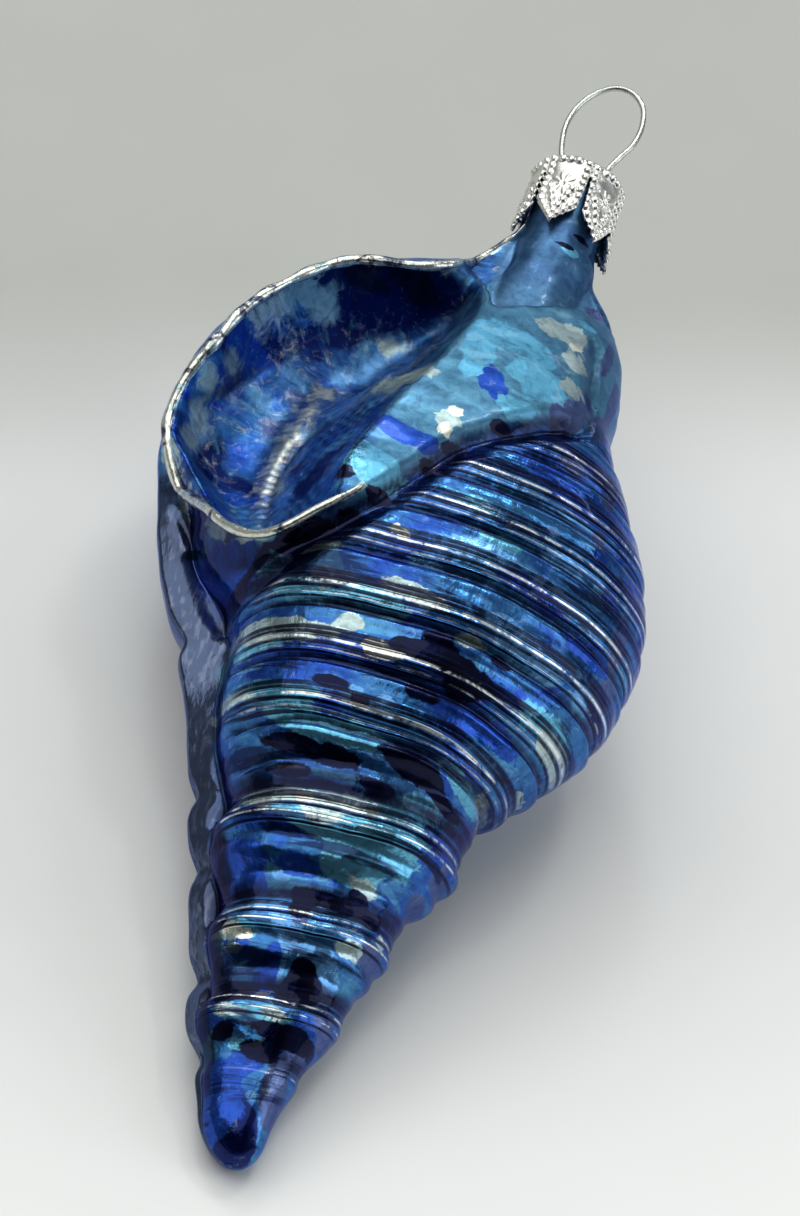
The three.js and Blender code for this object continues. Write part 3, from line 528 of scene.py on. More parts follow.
# Where each lacquer lies on the front: across, along, half-width across, half-width along. The pale and
# cream spots are painted reflections and highlights, the dark and navy spots painted shade and dark
# reflections, and some of the teal spots painted reflections too
lacquerPlaces = {
    "tealShare": [
        [-4.3, 101.2, 3.2, 2.2], [-1.2, 101.3, 2.9, 2.2], [2.1, 100.3, 2.4, 1.8], [-4.4, 96.9, 2.1, 2.2],
        [-4.7, 94.0, 1.3, 1.5], [3.8, 95.8, 2.7, 2.5], [1.4, 90.8, 2.9, 1.8], [0.9, 96.1, 2.1, 1.5],
        [-12.8, 76.9, 2.9, 2.5], [-9.6, 75.7, 2.7, 1.8], [-15.3, 82.0, 1.6, 1.4], [-9.8, 73.8, 2.1, 1.2],
        [6.5, 109.6, 1.6, 0.6], [1.7, 120.3, 1.3, 0.6], [-15.3, 63.2, 4.5, 3.1], [-10.3, 60.3, 4.0, 2.2],
        [-5.2, 59.9, 3.5, 1.4], [-17.0, 54.2, 4.5, 1.7], [-13.0, 48.1, 4.8, 1.5], [-7.8, 45.5, 5.1, 1.4],
        [-2.5, 46.0, 3.5, 1.2], [3.8, 38.3, 5.3, 2.8], [-3.0, 36.8, 5.9, 2.2], [3.3, 35.2, 3.7, 1.8],
        [6.6, 42.2, 2.7, 1.2], [-8.3, 37.8, 4.0, 1.8], [-4.3, 59.0, 1.9, 1.2], [4.8, 71.7, 2.7, 1.2],
        [1.5, 75.0, 3.2, 1.2], [18.1, 57.2, 2.1, 1.4], [14.2, 56.1, 2.1, 1.4], [10.6, 46.5, 2.1, 0.9],
        [7.7, 47.1, 2.7, 0.9], [-3.3, 14.8, 4.8, 1.2], [0.7, 32.8, 2.7, 1.5], [-8.8, 20.1, 0.9, 2.2],
        [-7.4, 23.3, 1.9, 0.9], [-6.4, 10.4, 1.1, 1.8], [-3.6, 11.5, 1.1, 0.8], [1.2, 17.7, 1.1, 1.1],
        [2.0, 32.5, 2.7, 1.2],
    ],
    # Painted pale reflections and highlights
    "paleReflectionShare": [
        [5.2, 106.8, 2.1, 2.2], [2.5, 106.0, 2.4, 1.5], [6.2, 102.2, 1.9, 1.7], [6.8, 97.9, 1.9, 1.8],
        [-4.9, 85.7, 1.6, 1.4], [-29.3, 99.1, 1.6, 1.2], [-27.2, 101.8, 1.6, 1.2], [-24.7, 104.2, 2.1, 1.2],
        [-22.3, 105.8, 1.3, 1.4], [-32.1, 88.6, 1.6, 1.5], [-31.3, 84.4, 1.6, 1.8], [-31.5, 81.1, 1.3, 1.4],
        [-30.2, 92.1, 1.3, 1.4], [-11.9, 90.3, 2.1, 1.5], [-9.7, 92.0, 1.9, 1.4], [-14.4, 105.0, 1.6, 1.2],
        [-19.3, 95.4, 1.3, 1.1], [-20.5, 90.7, 1.3, 1.1], [-21.3, 87.6, 1.1, 1.2], [-21.8, 85.0, 0.9, 1.2],
        [-21.7, 81.4, 0.8, 1.2], [-20.3, 78.6, 0.8, 1.5], [-13.2, 65.4, 2.7, 1.5], [-11.2, 61.3, 2.4, 1.2],
        [-12.2, 55.1, 4.5, 1.4], [-16.2, 55.3, 2.7, 1.2], [-16.8, 48.0, 2.1, 0.8], [-7.5, 56.9, 1.3, 0.9],
        [-6.3, 38.2, 3.5, 1.4], [-10.5, 38.0, 2.4, 1.2], [0.1, 39.1, 2.9, 1.4], [-3.6, 36.8, 1.9, 1.2],
        [-0.1, 61.7, 2.7, 1.2], [-3.7, 62.2, 2.4, 1.1], [5.4, 59.2, 1.9, 0.9], [19.1, 56.2, 1.9, 0.9],
        [16.9, 55.4, 1.6, 0.9], [16.6, 50.9, 1.3, 0.9], [13.2, 47.2, 1.9, 0.8], [-5.9, 14.6, 1.9, 0.8],
        [-1.3, 15.4, 1.9, 0.8], [-8.7, 22.7, 1.9, 0.8], [3.5, 31.7, 1.9, 0.9], [3.9, 24.5, 1.9, 0.6],
        [4.7, 25.6, 1.3, 0.6], [-7.5, 21.2, 1.1, 0.5], [7.1, 28.0, 0.8, 0.9],
    ],
    # Painted warm highlights
    "warmHighlightShare": [
        [6.0, 104.8, 1.2, 0.8], [-4.9, 84.3, 0.9, 1.1], [-29.7, 98.2, 1.9, 1.5], [-28.0, 100.8, 1.9, 1.2],
        [-19.3, 96.0, 1.1, 0.8], [-20.4, 90.9, 0.9, 0.8], [-5.7, 68.5, 1.6, 0.8], [-2.9, 54.8, 1.9, 0.9],
        [-4.3, 54.9, 1.1, 0.9], [-0.3, 55.7, 1.3, 0.6], [-5.8, 38.4, 1.2, 0.9], [-9.8, 36.5, 1.1, 0.8],
        [-4.6, 87.1, 0.8, 0.8], [-8.4, 23.2, 1.1, 0.8], [-6.7, 22.7, 1.1, 0.6],
    ],
    "cobaltShare": [
        [-2.2, 93.5, 1.5, 1.7], [-3.3, 95.0, 1.1, 1.2], [-0.6, 91.9, 1.1, 1.4], [-9.4, 81.6, 2.9, 1.5],
        [-6.6, 81.5, 1.9, 1.2], [-11.5, 83.0, 1.6, 0.9], [-31.9, 92.9, 1.3, 1.5], [-33.7, 85.2, 0.8, 0.9],
        [-23.9, 76.1, 2.7, 1.2], [-27.9, 71.4, 1.1, 1.2], [-22.8, 64.2, 2.7, 3.1], [-20.1, 62.2, 1.6, 2.2],
        [-23.4, 63.4, 1.3, 1.5], [8.3, 68.2, 2.9, 1.2], [12.3, 67.5, 2.4, 1.2], [16.8, 65.8, 2.4, 1.4],
        [19.5, 66.3, 1.6, 1.5], [8.1, 52.1, 3.5, 1.4], [11.9, 52.4, 2.9, 1.4], [4.5, 52.0, 2.1, 1.2],
        [15.9, 76.6, 1.6, 1.5], [18.4, 73.0, 1.3, 1.8], [-5.0, 34.8, 3.5, 0.9], [-10.1, 31.1, 2.7, 1.2],
        [-8.9, 29.0, 1.6, 1.8], [-11.5, 32.2, 2.1, 0.8], [-8.5, 28.0, 1.9, 1.2], [-3.8, 31.3, 2.7, 1.2],
        [9.9, 39.2, 1.3, 1.8], [6.6, 40.6, 1.6, 1.5], [-3.0, 18.4, 1.3, 1.2], [-3.2, 20.5, 1.1, 2.5],
        [-7.4, 21.7, 1.9, 1.2], [-4.5, 7.9, 1.9, 2.2], [-2.6, 4.4, 1.9, 3.4], [-1.6, 10.1, 1.3, 1.2],
        [8.8, 83.5, 3.2, 0.9], [12.6, 56.6, 1.1, 1.2],
    ],
    "lightShare": [
        [-7.4, 109.5, 1.3, 1.2], [-9.5, 107.6, 1.9, 1.4], [-12.7, 103.6, 2.1, 1.4], [-15.3, 100.8, 1.9, 1.4],
        [-17.9, 99.2, 1.6, 1.2], [-17.4, 103.2, 1.6, 1.1], [-17.2, 89.0, 1.2, 0.9], [-18.8, 86.5, 1.1, 1.1],
        [-19.4, 83.9, 0.8, 1.2], [-20.1, 80.9, 0.7, 1.2], [-19.1, 75.6, 0.9, 2.2], [-16.0, 89.6, 1.6, 0.9],
        [-12.9, 87.9, 1.6, 0.9], [-31.3, 92.0, 1.1, 1.2], [-22.6, 96.0, 2.1, 1.4], [-25.9, 91.1, 1.9, 1.2],
        [-2.1, 66.0, 2.1, 0.9], [2.0, 69.2, 3.5, 1.8], [5.6, 69.1, 3.2, 1.7], [11.7, 73.1, 2.7, 1.2],
        [9.9, 61.7, 3.2, 1.4], [13.9, 61.2, 2.7, 1.4], [17.3, 72.0, 1.6, 1.8], [18.9, 61.2, 1.1, 1.2],
        [-4.9, 49.6, 1.9, 0.9], [-9.9, 48.4, 1.9, 0.8], [-16.0, 51.1, 1.9, 0.8], [-1.0, 49.6, 1.1, 1.1],
        [7.7, 62.8, 2.1, 0.9], [-5.1, 30.4, 1.3, 1.2], [-4.6, 26.1, 2.4, 0.9], [0.9, 26.3, 1.9, 0.9],
        [3.7, 26.6, 1.9, 0.9], [-0.7, 23.0, 2.1, 0.8], [1.6, 22.8, 1.9, 1.5], [3.3, 21.4, 1.3, 1.1],
        [-2.5, 20.2, 1.1, 2.2], [-6.1, 19.7, 1.3, 0.9], [-3.0, 8.1, 1.1, 0.8], [-0.3, 6.7, 1.3, 0.6],
        [-2.6, 11.4, 1.1, 0.9], [-2.9, 24.4, 1.9, 0.8],
    ],
    # Painted shade and dark reflections
    "shadeAndDarkReflectionShare": [
        [-13.4, 109.4, 4.0, 0.9], [-20.0, 108.2, 3.2, 0.8], [-15.9, 79.8, 1.6, 1.2], [-16.7, 77.4, 1.3, 1.5],
        [-13.6, 73.9, 1.2, 1.1], [-17.5, 76.1, 0.9, 1.8], [-19.1, 80.8, 0.7, 1.4], [2.3, 122.7, 1.3, 0.5],
        [0.8, 120.8, 1.6, 0.4], [-2.4, 82.3, 2.7, 1.2], [0.8, 87.5, 1.9, 0.9], [-4.9, 78.9, 1.9, 1.2],
        [7.3, 91.3, 1.6, 0.9], [-8.9, 72.5, 2.1, 1.2], [-11.2, 69.1, 1.9, 1.2], [-13.9, 67.0, 2.4, 1.1],
        [-16.4, 65.0, 2.1, 1.1], [-28.8, 69.5, 1.3, 2.8], [-26.9, 69.1, 1.1, 1.2], [-20.2, 60.7, 1.1, 1.5],
        [-19.0, 63.2, 0.8, 1.2], [-1.0, 56.0, 2.7, 1.1], [2.1, 58.4, 2.1, 1.1], [5.2, 56.3, 2.4, 1.2],
        [1.9, 56.0, 2.1, 1.2], [8.0, 55.5, 2.1, 1.1], [9.1, 58.9, 1.6, 0.8], [2.1, 52.1, 2.4, 1.2],
        [6.1, 53.9, 1.9, 1.2], [-7.3, 50.1, 2.1, 0.8], [-3.6, 48.9, 1.3, 0.8], [-9.3, 43.6, 3.2, 0.8],
        [-3.7, 43.4, 2.9, 1.1], [-8.4, 41.1, 2.9, 1.1], [2.3, 45.5, 2.9, 1.2], [6.0, 45.1, 2.7, 1.2],
        [1.3, 41.8, 2.7, 0.9], [9.1, 43.8, 2.1, 0.9], [-12.9, 30.9, 1.2, 2.8], [-11.0, 26.6, 1.2, 2.8],
        [-10.1, 23.9, 1.1, 1.2], [-1.7, 28.7, 2.4, 0.9], [1.6, 28.8, 2.4, 0.9], [-2.2, 26.9, 1.3, 1.2],
        [5.2, 29.1, 1.9, 0.9], [3.3, 30.7, 1.6, 0.8], [0.2, 20.5, 1.3, 2.2], [1.7, 19.5, 1.6, 1.8],
        [-0.1, 18.2, 1.9, 1.5], [-7.1, 16.4, 2.1, 1.2], [-4.1, 17.0, 1.9, 0.9], [-8.9, 17.6, 0.8, 2.2],
        [-0.7, 13.7, 2.7, 0.9], [-1.0, 11.4, 2.7, 1.1], [2.6, 14.1, 2.1, 1.2], [-5.6, 12.4, 1.1, 1.2],
    ],
    # Painted shade and dark reflections in the mouth and about the tip
    "navyShare": [
        [-23.0, 106.4, 3.5, 1.5], [-18.6, 107.9, 3.7, 1.8], [-13.5, 108.8, 3.7, 1.8], [-9.3, 110.6, 2.9, 1.5],
        [-19.9, 106.1, 3.2, 1.8], [-15.5, 107.1, 2.7, 1.5], [-24.0, 100.1, 2.7, 1.8],
        [-22.0, 103.4, 2.4, 1.5], [-26.3, 97.5, 1.9, 1.5], [-19.4, 103.4, 1.9, 1.4], [-28.5, 82.1, 1.6, 2.2],
        [-26.7, 78.9, 2.1, 1.8], [-24.3, 77.9, 2.4, 1.8], [-29.0, 79.6, 1.6, 1.8], [-2.4, 3.8, 2.1, 4.0],
        [-0.1, 2.8, 1.9, 2.8], [-0.6, 0.3, 1.9, 1.8], [-2.8, 2.1, 1.1, 2.8],
    ],
    "violetShare": [
        [6.6, 115.0, 1.6, 1.2], [9.7, 106.8, 0.8, 3.7], [11.9, 102.5, 0.8, 3.7], [11.4, 95.9, 1.3, 2.5],
        [7.4, 94.5, 1.9, 1.5], [8.6, 98.0, 1.3, 1.8], [6.7, 92.7, 1.6, 1.5], [-29.7, 92.0, 1.6, 1.5],
        [-21.0, 83.9, 1.1, 1.5], [-21.0, 85.9, 1.1, 1.5], [-21.7, 93.3, 1.6, 1.2], [-23.7, 87.8, 1.3, 1.8],
        [9.7, 87.6, 1.6, 1.8], [14.9, 85.9, 1.1, 2.2], [15.2, 79.2, 1.1, 1.8], [20.9, 70.2, 1.1, 3.7],
        [20.9, 62.0, 1.1, 2.2], [21.7, 65.1, 1.1, 1.8], [11.0, 37.4, 1.6, 1.5], [9.9, 34.0, 1.6, 1.2],
        [6.8, 25.6, 1.6, 1.8], [3.2, 18.7, 1.3, 2.2], [4.8, 16.7, 1.1, 2.2], [3.4, 12.5, 1.9, 1.5],
        [1.1, 8.9, 1.3, 2.5], [2.2, 6.4, 1.1, 3.1], [-7.3, 18.5, 0.8, 1.2], [-1.8, 25.9, 1.1, 0.9],
    ],
}


def paintShell(piece, angle, across, along, height, marks):
    # Keeps for each point its place along the winding, drawn together round the shell so that a pattern on
    # it runs round in streaks, and how strongly each lacquer lies there, as a sum of soft round spots. Some
    # spots are painted reflections, highlights and shade, and the rim, groove, crease and fold shares add
    # painted highlights and shade
    extra = across.shape[0] - angle.shape[0]
    turn = np.vstack([angle, np.repeat(angle[-1:], extra, axis=0)])
    squeeze = 0.12
    onward = along - glass["ribPitch"] * returningShare(turn)
    winding = np.stack([across * squeeze, onward, height * squeeze], axis=-1)
    winding = np.vstack([winding.reshape(-1, 3), np.zeros((2, 3))]) * mm
    keepWinding(piece, winding)
    front = smooth(np.cos(turn), -0.25, 0.15)
    full = {name: np.vstack([mark, np.repeat(mark[-1:], extra, axis=0)]) for name, mark in marks.items()}
    shares = {}
    for name, spots in lacquerPlaces.items():
        total = np.zeros_like(along)
        for x, y, width, length in spots:
            total = total + np.exp(-((across - x) / width)**2 - ((along - y) / length)**2)
        shares[name] = np.clip(total, 0, 1.2) * front
    # Painted highlight along the mouth's rim
    shares["paleReflectionShare"] = np.maximum(shares["paleReflectionShare"], 0.8 * full["rim"]**2 * front)
    # Painted shade in the grooves, sutures and creases
    shares["grooveShare"] = np.clip(np.maximum(full["groove"], full["creaseShade"]), 0, 1)
    for name in ("ribPhase", "spirePhase"):
        shares[name] = full[name]
    for name in ("rib", "spire", "pad", "flank"):
        shares[name + "Share"] = full[name] * (1 - full["deep"])
    # Painted warm highlights on the mouth's fold crests
    shares["warmHighlightShare"] = np.maximum(shares["warmHighlightShare"], 0.52 * full["ridgeHighlight"] * smooth(-across, 15, 17))
    shares["bowlShare"] = full["deep"]
    for name in ("ridgeHighlight", "fold", "shaded", "neck"):
        shares[name + "Share"] = full[name]
    for name, share in shares.items():
        keepShare(piece, name, np.concatenate([share.ravel(), [0, 0]]))


def rimBead():
    # A circle carried along the mouth's rim, half sunk in the glass, swelling unevenly and thin at both ends
    path = curvePoints(mouth["rim"], mouth["beadSteps"])
    place = np.linspace(0, 1, mouth["beadSteps"])
    height = frontHeight(path[:, 0], path[:, 1]) + 0.1
    height = np.convolve(np.pad(height, 6, mode="edge"), np.ones(13) / 13, mode="valid")
    centre = np.column_stack([path, height])
    run = np.gradient(centre, axis=0)
    run = run / np.linalg.norm(run, axis=1)[:, None]
    outward = np.cross(run, np.array([0.0, 0.0, 1.0]))
    outward = outward / np.linalg.norm(outward, axis=1)[:, None]
    upward = np.cross(outward, run)
    size = mouth["beadRadius"] * (1 + 0.16 * wobble(place * 150, place * 40, 7, 12))
    size = np.maximum(size * np.sin(math.pi * place)**0.3, 0.05)[:, None, None]
    turn = np.linspace(0, 2 * math.pi, mouth["beadSides"], endpoint=False)
    ring = np.cos(turn)[None, :, None] * outward[:, None] + np.sin(turn)[None, :, None] * upward[:, None]
    points = centre[:, None] + size * ring
    faces = gridFaces(mouth["beadSteps"], mouth["beadSides"])[:, ::-1].tolist()
    faces.append(list(range(mouth["beadSides"])))
    faces.append([(mouth["beadSteps"] - 1) * mouth["beadSides"] + n for n in range(mouth["beadSides"])][::-1])
    piece = makeMesh("rimOfMouth", toFrame(points[..., 0], points[..., 1], points[..., 2]), faces)
    keepWinding(piece, points * mm)
    # The bead is painted pale and warm: painted highlights along the rim
    keepShare(piece, "paleReflectionShare", np.full(points.shape[:2], 0.9))
    keepShare(piece, "warmHighlightShare", np.full(points.shape[:2], 0.6))
    return piece


# Materials

def newMaterial(name):
    material = bpy.data.materials.new(name)
    material.use_nodes = True
    tree = material.node_tree
    return material, tree, tree.nodes["Principled BSDF"]


def joinOrSet(tree, socket, value):
    if isinstance(value, bpy.types.NodeSocket):
        tree.links.new(value, socket)
    else:
        socket.default_value = value


def addNode(tree, kind, settings=None, **values):
    # Adds a node, sets its properties, and sets or links its inputs, by name or as i and a number
    node = tree.nodes.new(kind)
    for key, value in (settings or {}).items():
        setattr(node, key, value)
    for key, value in values.items():
        joinOrSet(tree, node.inputs[int(key[1:]) if key[0] == "i" and key[1:].isdigit() else key], value)
    return node


def doMath(tree, operation, first, second=0.0):
    return addNode(tree, "ShaderNodeMath", {"operation": operation}, i0=first, i1=second).outputs[0]


def times(tree, first, second):
    return doMath(tree, "MULTIPLY", first, second)


def plus(tree, first, second):
    return doMath(tree, "ADD", first, second)


def less(tree, first, second):
    return doMath(tree, "SUBTRACT", first, second)


def mixColours(tree, factor, first, second):
    node = addNode(tree, "ShaderNodeMix", {"data_type": "RGBA"}, i0=factor, i6=first, i7=second)
    return node.outputs[2]


def rangeOf(tree, value, low, high, toLow=0.0, toHigh=1.0):
    ends = {"i1": low, "i2": high, "i3": toLow, "i4": toHigh}
    settings = {"interpolation_type": "SMOOTHSTEP"}
    return addNode(tree, "ShaderNodeMapRange", settings, i0=value, **ends).outputs[0]


def noiseOf(tree, place, scale, detail=4.0, roughness=0.55, distortion=0.0):
    values = {"Scale": scale, "Detail": detail, "Roughness": roughness, "Distortion": distortion}
    return addNode(tree, "ShaderNodeTexNoise", {}, Vector=place, **values).outputs[0]


def newGroup(name, inputs, outputs):
    tree = bpy.data.node_groups.new(name, "ShaderNodeTree")
    for label, kind, value in inputs:
        socket = tree.interface.new_socket(name=label, in_out="INPUT", socket_type="NodeSocket" + kind)
        if value is not None:
            socket.default_value = value
    for label, kind in outputs:
        tree.interface.new_socket(name=label, in_out="OUTPUT", socket_type="NodeSocket" + kind)
    return tree, tree.nodes.new("NodeGroupInput").outputs, tree.nodes.new("NodeGroupOutput").inputs


def brokenPatchGroup():
    # A mask that is full where the share, moved up and down by a noise, passes a half, with ragged edges
    tree, given, made = newGroup("brokenPatch", [
        ("Share", "Float", 0.0), ("Place", "Vector", None), ("Scale", "Float", 200.0),
        ("Raggedness", "Float", 1.2), ("Softness", "Float", 0.07),
    ], [("Mask", "Float")])
    grain = noiseOf(tree, given["Place"], given["Scale"], 5, 0.6, 1.6)
    moved = times(tree, less(tree, grain, 0.5), given["Raggedness"])
    low = less(tree, 0.49, given["Softness"])
    high = plus(tree, 0.49, given["Softness"])
    tree.links.new(rangeOf(tree, plus(tree, given["Share"], moved), low, high), made["Mask"])
    return tree


def threadLineGroup():
    # A thin line that comes back once in each step of a phase, of a given half-width, soft at its edges
    tree, given, made = newGroup("threadLine", [
        ("Phase", "Float", 0.0), ("Centre", "Float", 0.5), ("Width", "Float", 0.03), ("Share", "Float", 1.0),
    ], [("Mask", "Float")])
    moved = doMath(tree, "FRACT", plus(tree, less(tree, given["Phase"], given["Centre"]), 100.5))
    aside = doMath(tree, "ABSOLUTE", less(tree, moved, 0.5))
    line = rangeOf(tree, doMath(tree, "DIVIDE", aside, given["Width"]), 1.0, 0.35)
    tree.links.new(times(tree, line, given["Share"]), made["Mask"])
    return tree


def handledMetalGroup():
    # Bright metal with a cloud of duller, rougher tarnish and a fine unevenness
    tree, given, made = newGroup("handledMetal", [
        ("Bright", "Color", None), ("Dull", "Color", None), ("Wear", "Float", 0.5), ("Scale", "Float", 900.0),
        ("Gloss", "Float", 0.2),
    ], [("Colour", "Color"), ("Roughness", "Float"), ("Height", "Float")])
    place = addNode(tree, "ShaderNodeTexCoord").outputs["Object"]
    cloud = noiseOf(tree, place, given["Scale"], 4, 0.6)
    worn = times(tree, rangeOf(tree, cloud, 0.38, 0.66), given["Wear"])
    tree.links.new(mixColours(tree, worn, given["Bright"], given["Dull"]), made["Colour"])
    rough = plus(tree, given["Gloss"], times(tree, worn, 0.2))
    tree.links.new(rough, made["Roughness"])
    tree.links.new(cloud, made["Height"])
    return tree


# Lacquer colours. Some of them paint light: the near-white and the cream ones are painted highlights, lilac a
# painted highlight on fold crests, ghost a painted grey reflection of the table, pale partly painted reflection,
# and black, navy and deep also paint shade and dark reflections
lacquer = {
    "navy": (0.001, 0.006, 0.050, 1), "cobalt": (0.012, 0.066, 0.40, 1), "steel": (0.034, 0.160, 0.40, 1),
    "teal": (0.12, 0.42, 0.62, 1), "pale": (0.42, 0.56, 0.55, 1), "light": (0.12, 0.34, 0.68, 1),
    "violet": (0.075, 0.11, 0.26, 1), "ghost": (0.060, 0.080, 0.14, 1), "black": (0.001, 0.002, 0.018, 1),
    "warmHighlight": (0.80, 0.82, 0.70, 1), "ridgeHighlight": (0.88, 0.93, 0.92, 1), "sea": (0.095, 0.27, 0.37, 1),
    "neckBlue": (0.052, 0.135, 0.25, 1), "lilac": (0.17, 0.26, 0.52, 1), "deep": (0.0025, 0.011, 0.10, 1),
    "stria": (0.13, 0.16, 0.24, 1),
}


# The order in which the patches lie over each other: share, lacquer, size of the noise, raggedness. The
# pale and warm patches are painted reflections and highlights, the navy ones painted shade and dark
# reflections
lacquerOrder = [
    ("lightShare", "light", 260, 1.1), ("violetShare", "violet", 180, 0.9), ("navyShare", "deep", 200, 1.0),
    ("cobaltShare", "cobalt", 210, 1.4), ("tealShare", "teal", 230, 1.5), ("paleReflectionShare", "pale", 300, 1.5),
    ("warmHighlightShare", "warmHighlight", 420, 1.5),
]


def lacqueredGlass():
    # Silver seen through lacquers that run into each other: each shows where its share passes a noise, and
    # streaks run round the whorls. Over them lie painted shade in the grooves, creases and folds, painted
    # highlights and dark reflections along the crests, and patches of painted reflection and highlight
    material, tree, shader = newMaterial("lacqueredGlass")
    patchGroup = brokenPatchGroup()
    place = addNode(tree, "ShaderNodeTexCoord").outputs["Object"]
    winding = addNode(tree, "ShaderNodeAttribute", {"attribute_name": "windingPlace"}).outputs["Vector"]

    def shareOf(name):
        return addNode(tree, "ShaderNodeAttribute", {"attribute_name": name}).outputs["Fac"]

    def patch(share, scale, raggedness):
        settings = {"node_tree": patchGroup}
        values = {"Share": share, "Place": place, "Scale": scale, "Softness": soft,
                  "Raggedness": plus(tree, raggedness, times(tree, bowl, 0.8))}
        return addNode(tree, "ShaderNodeGroup", settings, **values).outputs["Mask"]

    bowl = shareOf("bowlShare")
    soft = plus(tree, 0.06, times(tree, bowl, 0.34))
    broad = noiseOf(tree, place, 70, 5, 0.62, 0.8)
    middle = noiseOf(tree, place, 210, 6, 0.68, 1.4)
    streaks = noiseOf(tree, winding, 420, 5, 0.62, 0.6)
    lines = noiseOf(tree, winding, 1300, 3, 0.6, 0.3)
    colour = mixColours(tree, rangeOf(tree, broad, 0.36, 0.56), lacquer["cobalt"], lacquer["steel"])
    colour = mixColours(tree, rangeOf(tree, streaks, 0.54, 0.63, 0, 0.45), colour, lacquer["teal"])
    colour = mixColours(tree, rangeOf(tree, middle, 0.56, 0.66, 0, 0.30), colour, lacquer["light"])
    colour = mixColours(tree, times(tree, shareOf("padShare"), 0.8), colour, lacquer["sea"])
    colour = mixColours(tree, times(tree, shareOf("neckShare"), 0.85), colour, lacquer["neckBlue"])
    # Painted highlight on the mouth's fold crests, in lilac
    colour = mixColours(tree, times(tree, shareOf("ridgeHighlightShare"), 0.8), colour, lacquer["lilac"])
    for name, paint, scale, ragged in lacquerOrder:
        colour = mixColours(tree, patch(shareOf(name), scale, ragged), colour, lacquer[paint])
    mottle = noiseOf(tree, place, 640, 5, 0.7, 0.8)
    colour = mixColours(tree, rangeOf(tree, mottle, 0.42, 0.30, 0, 0.22), colour, lacquer["pale"])
    pad, neck = shareOf("padShare"), shareOf("neckShare")
    plain = doMath(tree, "MAXIMUM", doMath(tree, "MAXIMUM", bowl, neck), times(tree, pad, 0.9))
    calm = less(tree, 1.0, plain)
    # Painted dark reflections as navy streaks round the whorls, kept off the bowl, pad and neck
    darkReflectionStreaks = times(tree, rangeOf(tree, streaks, 0.47, 0.38), calm)
    colour = mixColours(tree, times(tree, darkReflectionStreaks, 0.9), colour, lacquer["navy"])
    # Painted dark reflections and painted shade, in black patches
    colour = mixColours(tree, patch(shareOf("shadeAndDarkReflectionShare"), 240, 1.0), colour, lacquer["black"])
    colour = mixColours(tree, rangeOf(tree, mottle, 0.42, 0.70, 0, 0.45), colour, lacquer["navy"])
    lineGroup = threadLineGroup()

    def line(phase, centre, width, share):
        values = {"Phase": shareOf(phase), "Centre": centre, "Width": width, "Share": share}
        return addNode(tree, "ShaderNodeGroup", {"node_tree": lineGroup}, **values).outputs["Mask"]

    def sumOf(values):
        total = values[0]
        for value in values[1:]:
            total = plus(tree, total, value)
        return total

    ribs, whorls = shareOf("ribShare"), shareOf("spireShare")
    fainter = times(tree, ribs, 0.4)
    # Painted highlights: thin pale lines along the crests of the ribs and whorls, drawn below in near-white
    highlightLines = sumOf([line("ribPhase", 0.85, 0.038, ribs), line("ribPhase", 0.68, 0.022, fainter),
                       line("spirePhase", 0.84, 0.020, whorls), line("spirePhase", 0.70, 0.014, whorls)])
    # Painted dark reflections beside the pale lines, and painted shade at the sutures, drawn below in black
    shadeAndDarkReflectionLines = sumOf([line("ribPhase", 0.775, 0.045, ribs), line("ribPhase", 0.94, 0.045, ribs),
                       line("ribPhase", 0.02, 0.06, ribs), line("ribPhase", 0.62, 0.03, ribs),
                       line("spirePhase", 0.79, 0.035, whorls), line("spirePhase", 0.90, 0.035, whorls),
                       line("spirePhase", 0.62, 0.02, whorls), line("spirePhase", 0.0, 0.07, whorls)])
    # Painted shade in the mouth's sunken folds, and dark stripes along its flutes and pleats
    colour = mixColours(tree, times(tree, shareOf("foldShare"), 0.85), colour, lacquer["navy"])
    broken = rangeOf(tree, middle, 0.40, 0.56)
    shown = times(tree, times(tree, highlightLines, broken), 0.9)
    colour = mixColours(tree, shown, colour, lacquer["ridgeHighlight"])
    filled = times(tree, shadeAndDarkReflectionLines, rangeOf(tree, middle, 0.68, 0.5, 0.55, 0.95))
    colour = mixColours(tree, filled, colour, lacquer["black"])
    turned = {"Vector": place, "Rotation": (-lie["tilt"], 0, 0), "Scale": (1.0, 0.06, 1.0)}
    drawnOut = addNode(tree, "ShaderNodeMapping", {}, **turned).outputs[0]
    striae = noiseOf(tree, drawnOut, 1500, 3, 0.5)
    ghost = mixColours(tree, rangeOf(tree, striae, 0.52, 0.66, 0, 0.8), lacquer["ghost"], lacquer["stria"])
    colour = mixColours(tree, times(tree, shareOf("shadedShare"), 0.92), colour, lacquer["black"])
    # The left flank in flat grey with striae: a painted grey reflection of the table
    colour = mixColours(tree, times(tree, shareOf("flankShare"), 0.96), colour, ghost)
